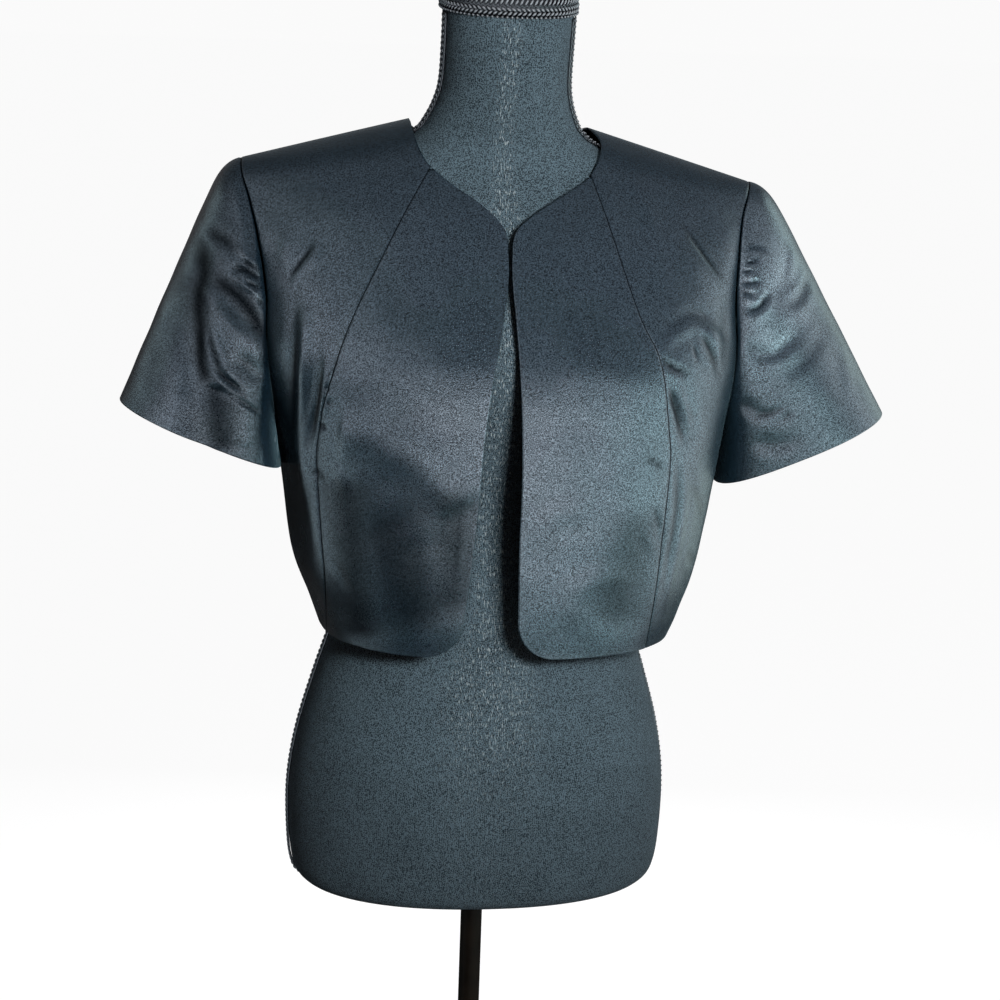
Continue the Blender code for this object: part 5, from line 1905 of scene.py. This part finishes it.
@dataclass
class Studio:
    """Plain pale floor and soft light."""

    lamps: tuple[Lamp, ...] = (
        Lamp("right_panel", LampUse.SHEEN, 14.0, -15.0, 1.6, 1.10, 0.50, 5.1, (1.0, 0.90, 0.92)),
        Lamp("right_turn_panel", LampUse.SHEEN, 52.5, -14.5, 1.6, 1.15, 0.62, 4.2, (0.86, 1.0, 0.99)),
        Lamp("right_low_panel", LampUse.SHEEN, 35.0, -35.0, 1.6, 2.24, 0.70, 1.8, (0.82, 1.0, 0.98)),
        Lamp("right_side_panel", LampUse.SHEEN, 85.0, -9.0, 1.6, 0.86, 1.45, 2.5, (0.92, 0.98, 1.0)),
        Lamp("right_tall_panel", LampUse.SHEEN, 115.0, 2.0, 1.6, 0.86, 1.80, 1.5, (0.82, 1.0, 0.98)),
        Lamp("front_panel", LampUse.SHEEN, -9.0, -14.5, 1.9, 0.62, 0.50, 3.8, (1.0, 0.90, 0.88)),
        Lamp("left_panel", LampUse.SHEEN, -46.0, -3.0, 2.0, 2.25, 1.03, 2.1, (1.0, 0.93, 0.97)),
        Lamp("left_high_panel", LampUse.SHEEN, -44.0, 31.0, 2.0, 1.00, 1.38, 0.75, (1.0, 0.95, 1.0)),
        Lamp("left_low_panel", LampUse.SHEEN, -52.0, -39.0, 2.0, 1.50, 0.50, 1.2, (0.80, 0.97, 1.0)),
        Lamp("left_turn_panel", LampUse.SHEEN, -84.0, -24.0, 2.0, 1.50, 0.60, 2.2, (0.86, 0.96, 1.0)),
        Lamp("left_side_panel", LampUse.SHEEN, -108.0, 16.0, 2.0, 1.50, 0.55, 1.3, (0.80, 0.97, 1.0)),
        Lamp("key_panel", LampUse.BODY, 13.0, 14.0, 1.7, 0.45, 0.30, 84.0, (1.0, 1.0, 1.0)),
        Lamp("side_panel", LampUse.BODY, 75.0, 15.0, 2.2, 1.20, 1.60, 1.7, (1.0, 1.0, 1.0)),
        Lamp("back_panel", LampUse.BODY, 171.0, 4.0, 2.2, 1.20, 1.20, 6.5, (1.0, 1.0, 1.0)),
    )
    aim: tuple[float, float, float] = (0.0, 0.0, 1.20)
    surround: float = 0.82
    surround_tint: tuple = (1.0, 0.94, 0.97, 1.0)
    behind: float = 0.15
    behind_range: tuple = (-0.25, 0.50)
    overhead: float = 0.70
    overhead_range: tuple = (0.74, 0.90)
    backdrop: float = 0.958
    sun_strength: float = 0.3
    sun_azimuth: float = 25.0
    sun_elevation: float = 60.0
    sun_spread: float = math.radians(55.0)
    floor_size: float = 60.0
    floor_colour: tuple = (0.16, 0.16, 0.165, 1.0)
    floor_glow: float = 0.94

    def build(self) -> None:
        """Build the floor and the light."""
        self.add_floor()
        self.add_world()
        for lamp in self.lamps:
            self.add_panel(lamp)
        self.add_sun()
        bpy.context.scene.view_settings.view_transform = "Standard"

    def direction(self, azimuth: float, elevation: float) -> Vector:
        """Unit vector from the object towards an azimuth, 0 in front, and an elevation, in degrees."""
        turn, rise = math.radians(azimuth), math.radians(elevation)
        return Vector((math.sin(turn) * math.cos(rise), -math.cos(turn) * math.cos(rise), math.sin(rise)))

    def add_floor(self) -> None:
        """Large pale floor, which throws less light up than the eye sees in it."""
        half = self.floor_size
        mesh = bpy.data.meshes.new("floor")
        mesh.from_pydata([(-half, -half, 0.0), (half, -half, 0.0), (half, half, 0.0), (-half, half, 0.0)],
                         [], [(0, 1, 2, 3)])
        material, bench, shader = start_material("pale_floor")
        seen = bench.add("ShaderNodeLightPath").outputs["Is Camera Ray"]
        link_shader(bench, shader, {"Emission Strength": bench.math("MULTIPLY", seen, self.floor_glow)},
                    {"Base Color": self.floor_colour, "Emission Color": (1.0, 1.0, 1.0, 1.0),
                     "Roughness": 0.9, "Specular IOR Level": 0.0})
        mesh.materials.append(material)
        floor = bpy.data.objects.new("floor", mesh)
        link(floor)

    def add_world(self) -> None:
        """White surround for the eye, and one for gloss, darker behind and above; matt cloth sees neither."""
        world = bpy.data.worlds.new("studio")
        world.use_nodes = True
        bpy.context.scene.world = world
        world.cycles_visibility.diffuse = False
        bench = NodeBench(world.node_tree)
        seen = bench.add("ShaderNodeLightPath").outputs["Is Camera Ray"]
        way = bench.add("ShaderNodeSeparateXYZ", {0: bench.add("ShaderNodeTexCoord").outputs["Generated"]})
        level = bench.ramp(way.outputs[1], *self.behind_range, self.surround, self.behind)
        above = bench.ramp(way.outputs[2], *self.overhead_range, 1.0, self.overhead)
        graded = bench.math("MULTIPLY", level, above)
        strength = bench.add("ShaderNodeMix", {0: seen, 2: graded, 3: self.backdrop}).outputs[0]
        background = world.node_tree.nodes["Background"]
        colour = bench.mix(seen, self.surround_tint, (1.0, 1.0, 1.0, 1.0))
        world.node_tree.links.new(colour, background.inputs["Color"])
        world.node_tree.links.new(strength, background.inputs["Strength"])

    def add_panel(self, lamp: Lamp) -> None:
        """Add a soft panel of light."""
        light = bpy.data.lights.new(lamp.name, "AREA")
        light.shape = "RECTANGLE"
        light.size = lamp.width
        light.size_y = lamp.height
        light.energy = math.pi * lamp.width * lamp.height * lamp.radiance
        light.color = lamp.tint
        panel = bpy.data.objects.new(lamp.name, light)
        way = self.direction(lamp.azimuth, lamp.elevation)
        panel.location = Vector(self.aim) + way * lamp.distance
        panel.rotation_euler = way.to_track_quat("Z", "Y").to_euler()
        panel.visible_camera = False
        panel.visible_diffuse = lamp.use is LampUse.BODY
        panel.visible_glossy = lamp.use is LampUse.SHEEN
        link(panel)

    def add_sun(self) -> None:
        """Add even light from above, which gives no gloss."""
        light = bpy.data.lights.new("overhead", "SUN")
        light.energy = self.sun_strength
        light.angle = self.sun_spread
        sun = bpy.data.objects.new("overhead", light)
        way = self.direction(self.sun_azimuth, self.sun_elevation)
        sun.rotation_euler = way.to_track_quat("Z", "Y").to_euler()
        sun.visible_glossy = False
        link(sun)


@dataclass
class PhotoCamera:
    """Camera at the photograph's angle and distance."""

    target: tuple[float, float, float] = (0.013, 0.0, 1.0514)
    distance: float = 2.0
    azimuth: float = math.radians(-9.0)
    elevation: float = math.radians(12.4)
    roll: float = math.radians(2.0)
    focal_pixels: float = 2320.0
    frame_pixels: float = 1000.0
    sensor: float = 36.0

    def build(self) -> None:
        """Add the camera and make it the scene's."""
        right = Vector((math.cos(self.azimuth), math.sin(self.azimuth), 0.0))
        forward = Vector((-math.sin(self.azimuth) * math.cos(self.elevation),
                          math.cos(self.azimuth) * math.cos(self.elevation), -math.sin(self.elevation)))
        up = right.cross(forward)
        rolled_right = right * math.cos(self.roll) + up * math.sin(self.roll)
        rolled_up = up * math.cos(self.roll) - right * math.sin(self.roll)
        data = bpy.data.cameras.new("photo_camera")
        data.sensor_width = self.sensor
        data.lens = self.focal_pixels / self.frame_pixels * self.sensor
        camera = bpy.data.objects.new("photo_camera", data)
        axes = Matrix((rolled_right, rolled_up, -forward)).transposed().to_4x4()
        axes.translation = Vector(self.target) - forward * self.distance
        camera.matrix_world = axes
        link(camera)
        bpy.context.scene.camera = camera


def main() -> None:
    """Build the jacket, the form and the stand, then the studio round them."""
    logging.basicConfig(level=logging.INFO, format="%(message)s")
    effects = SharedEffects()
    PhotoCamera().build()
    pieces = Jacket(SatinFinish().material(effects)).build()
    pieces += DressForm(JerseyFinish().material(effects), GimpFinish().material(effects)).build()
    pieces += Stand(PaintFinish().material(effects)).build()
    Studio().build()
    LOG.info("%d pieces", len(pieces))


if __name__ == "__main__":
    main()
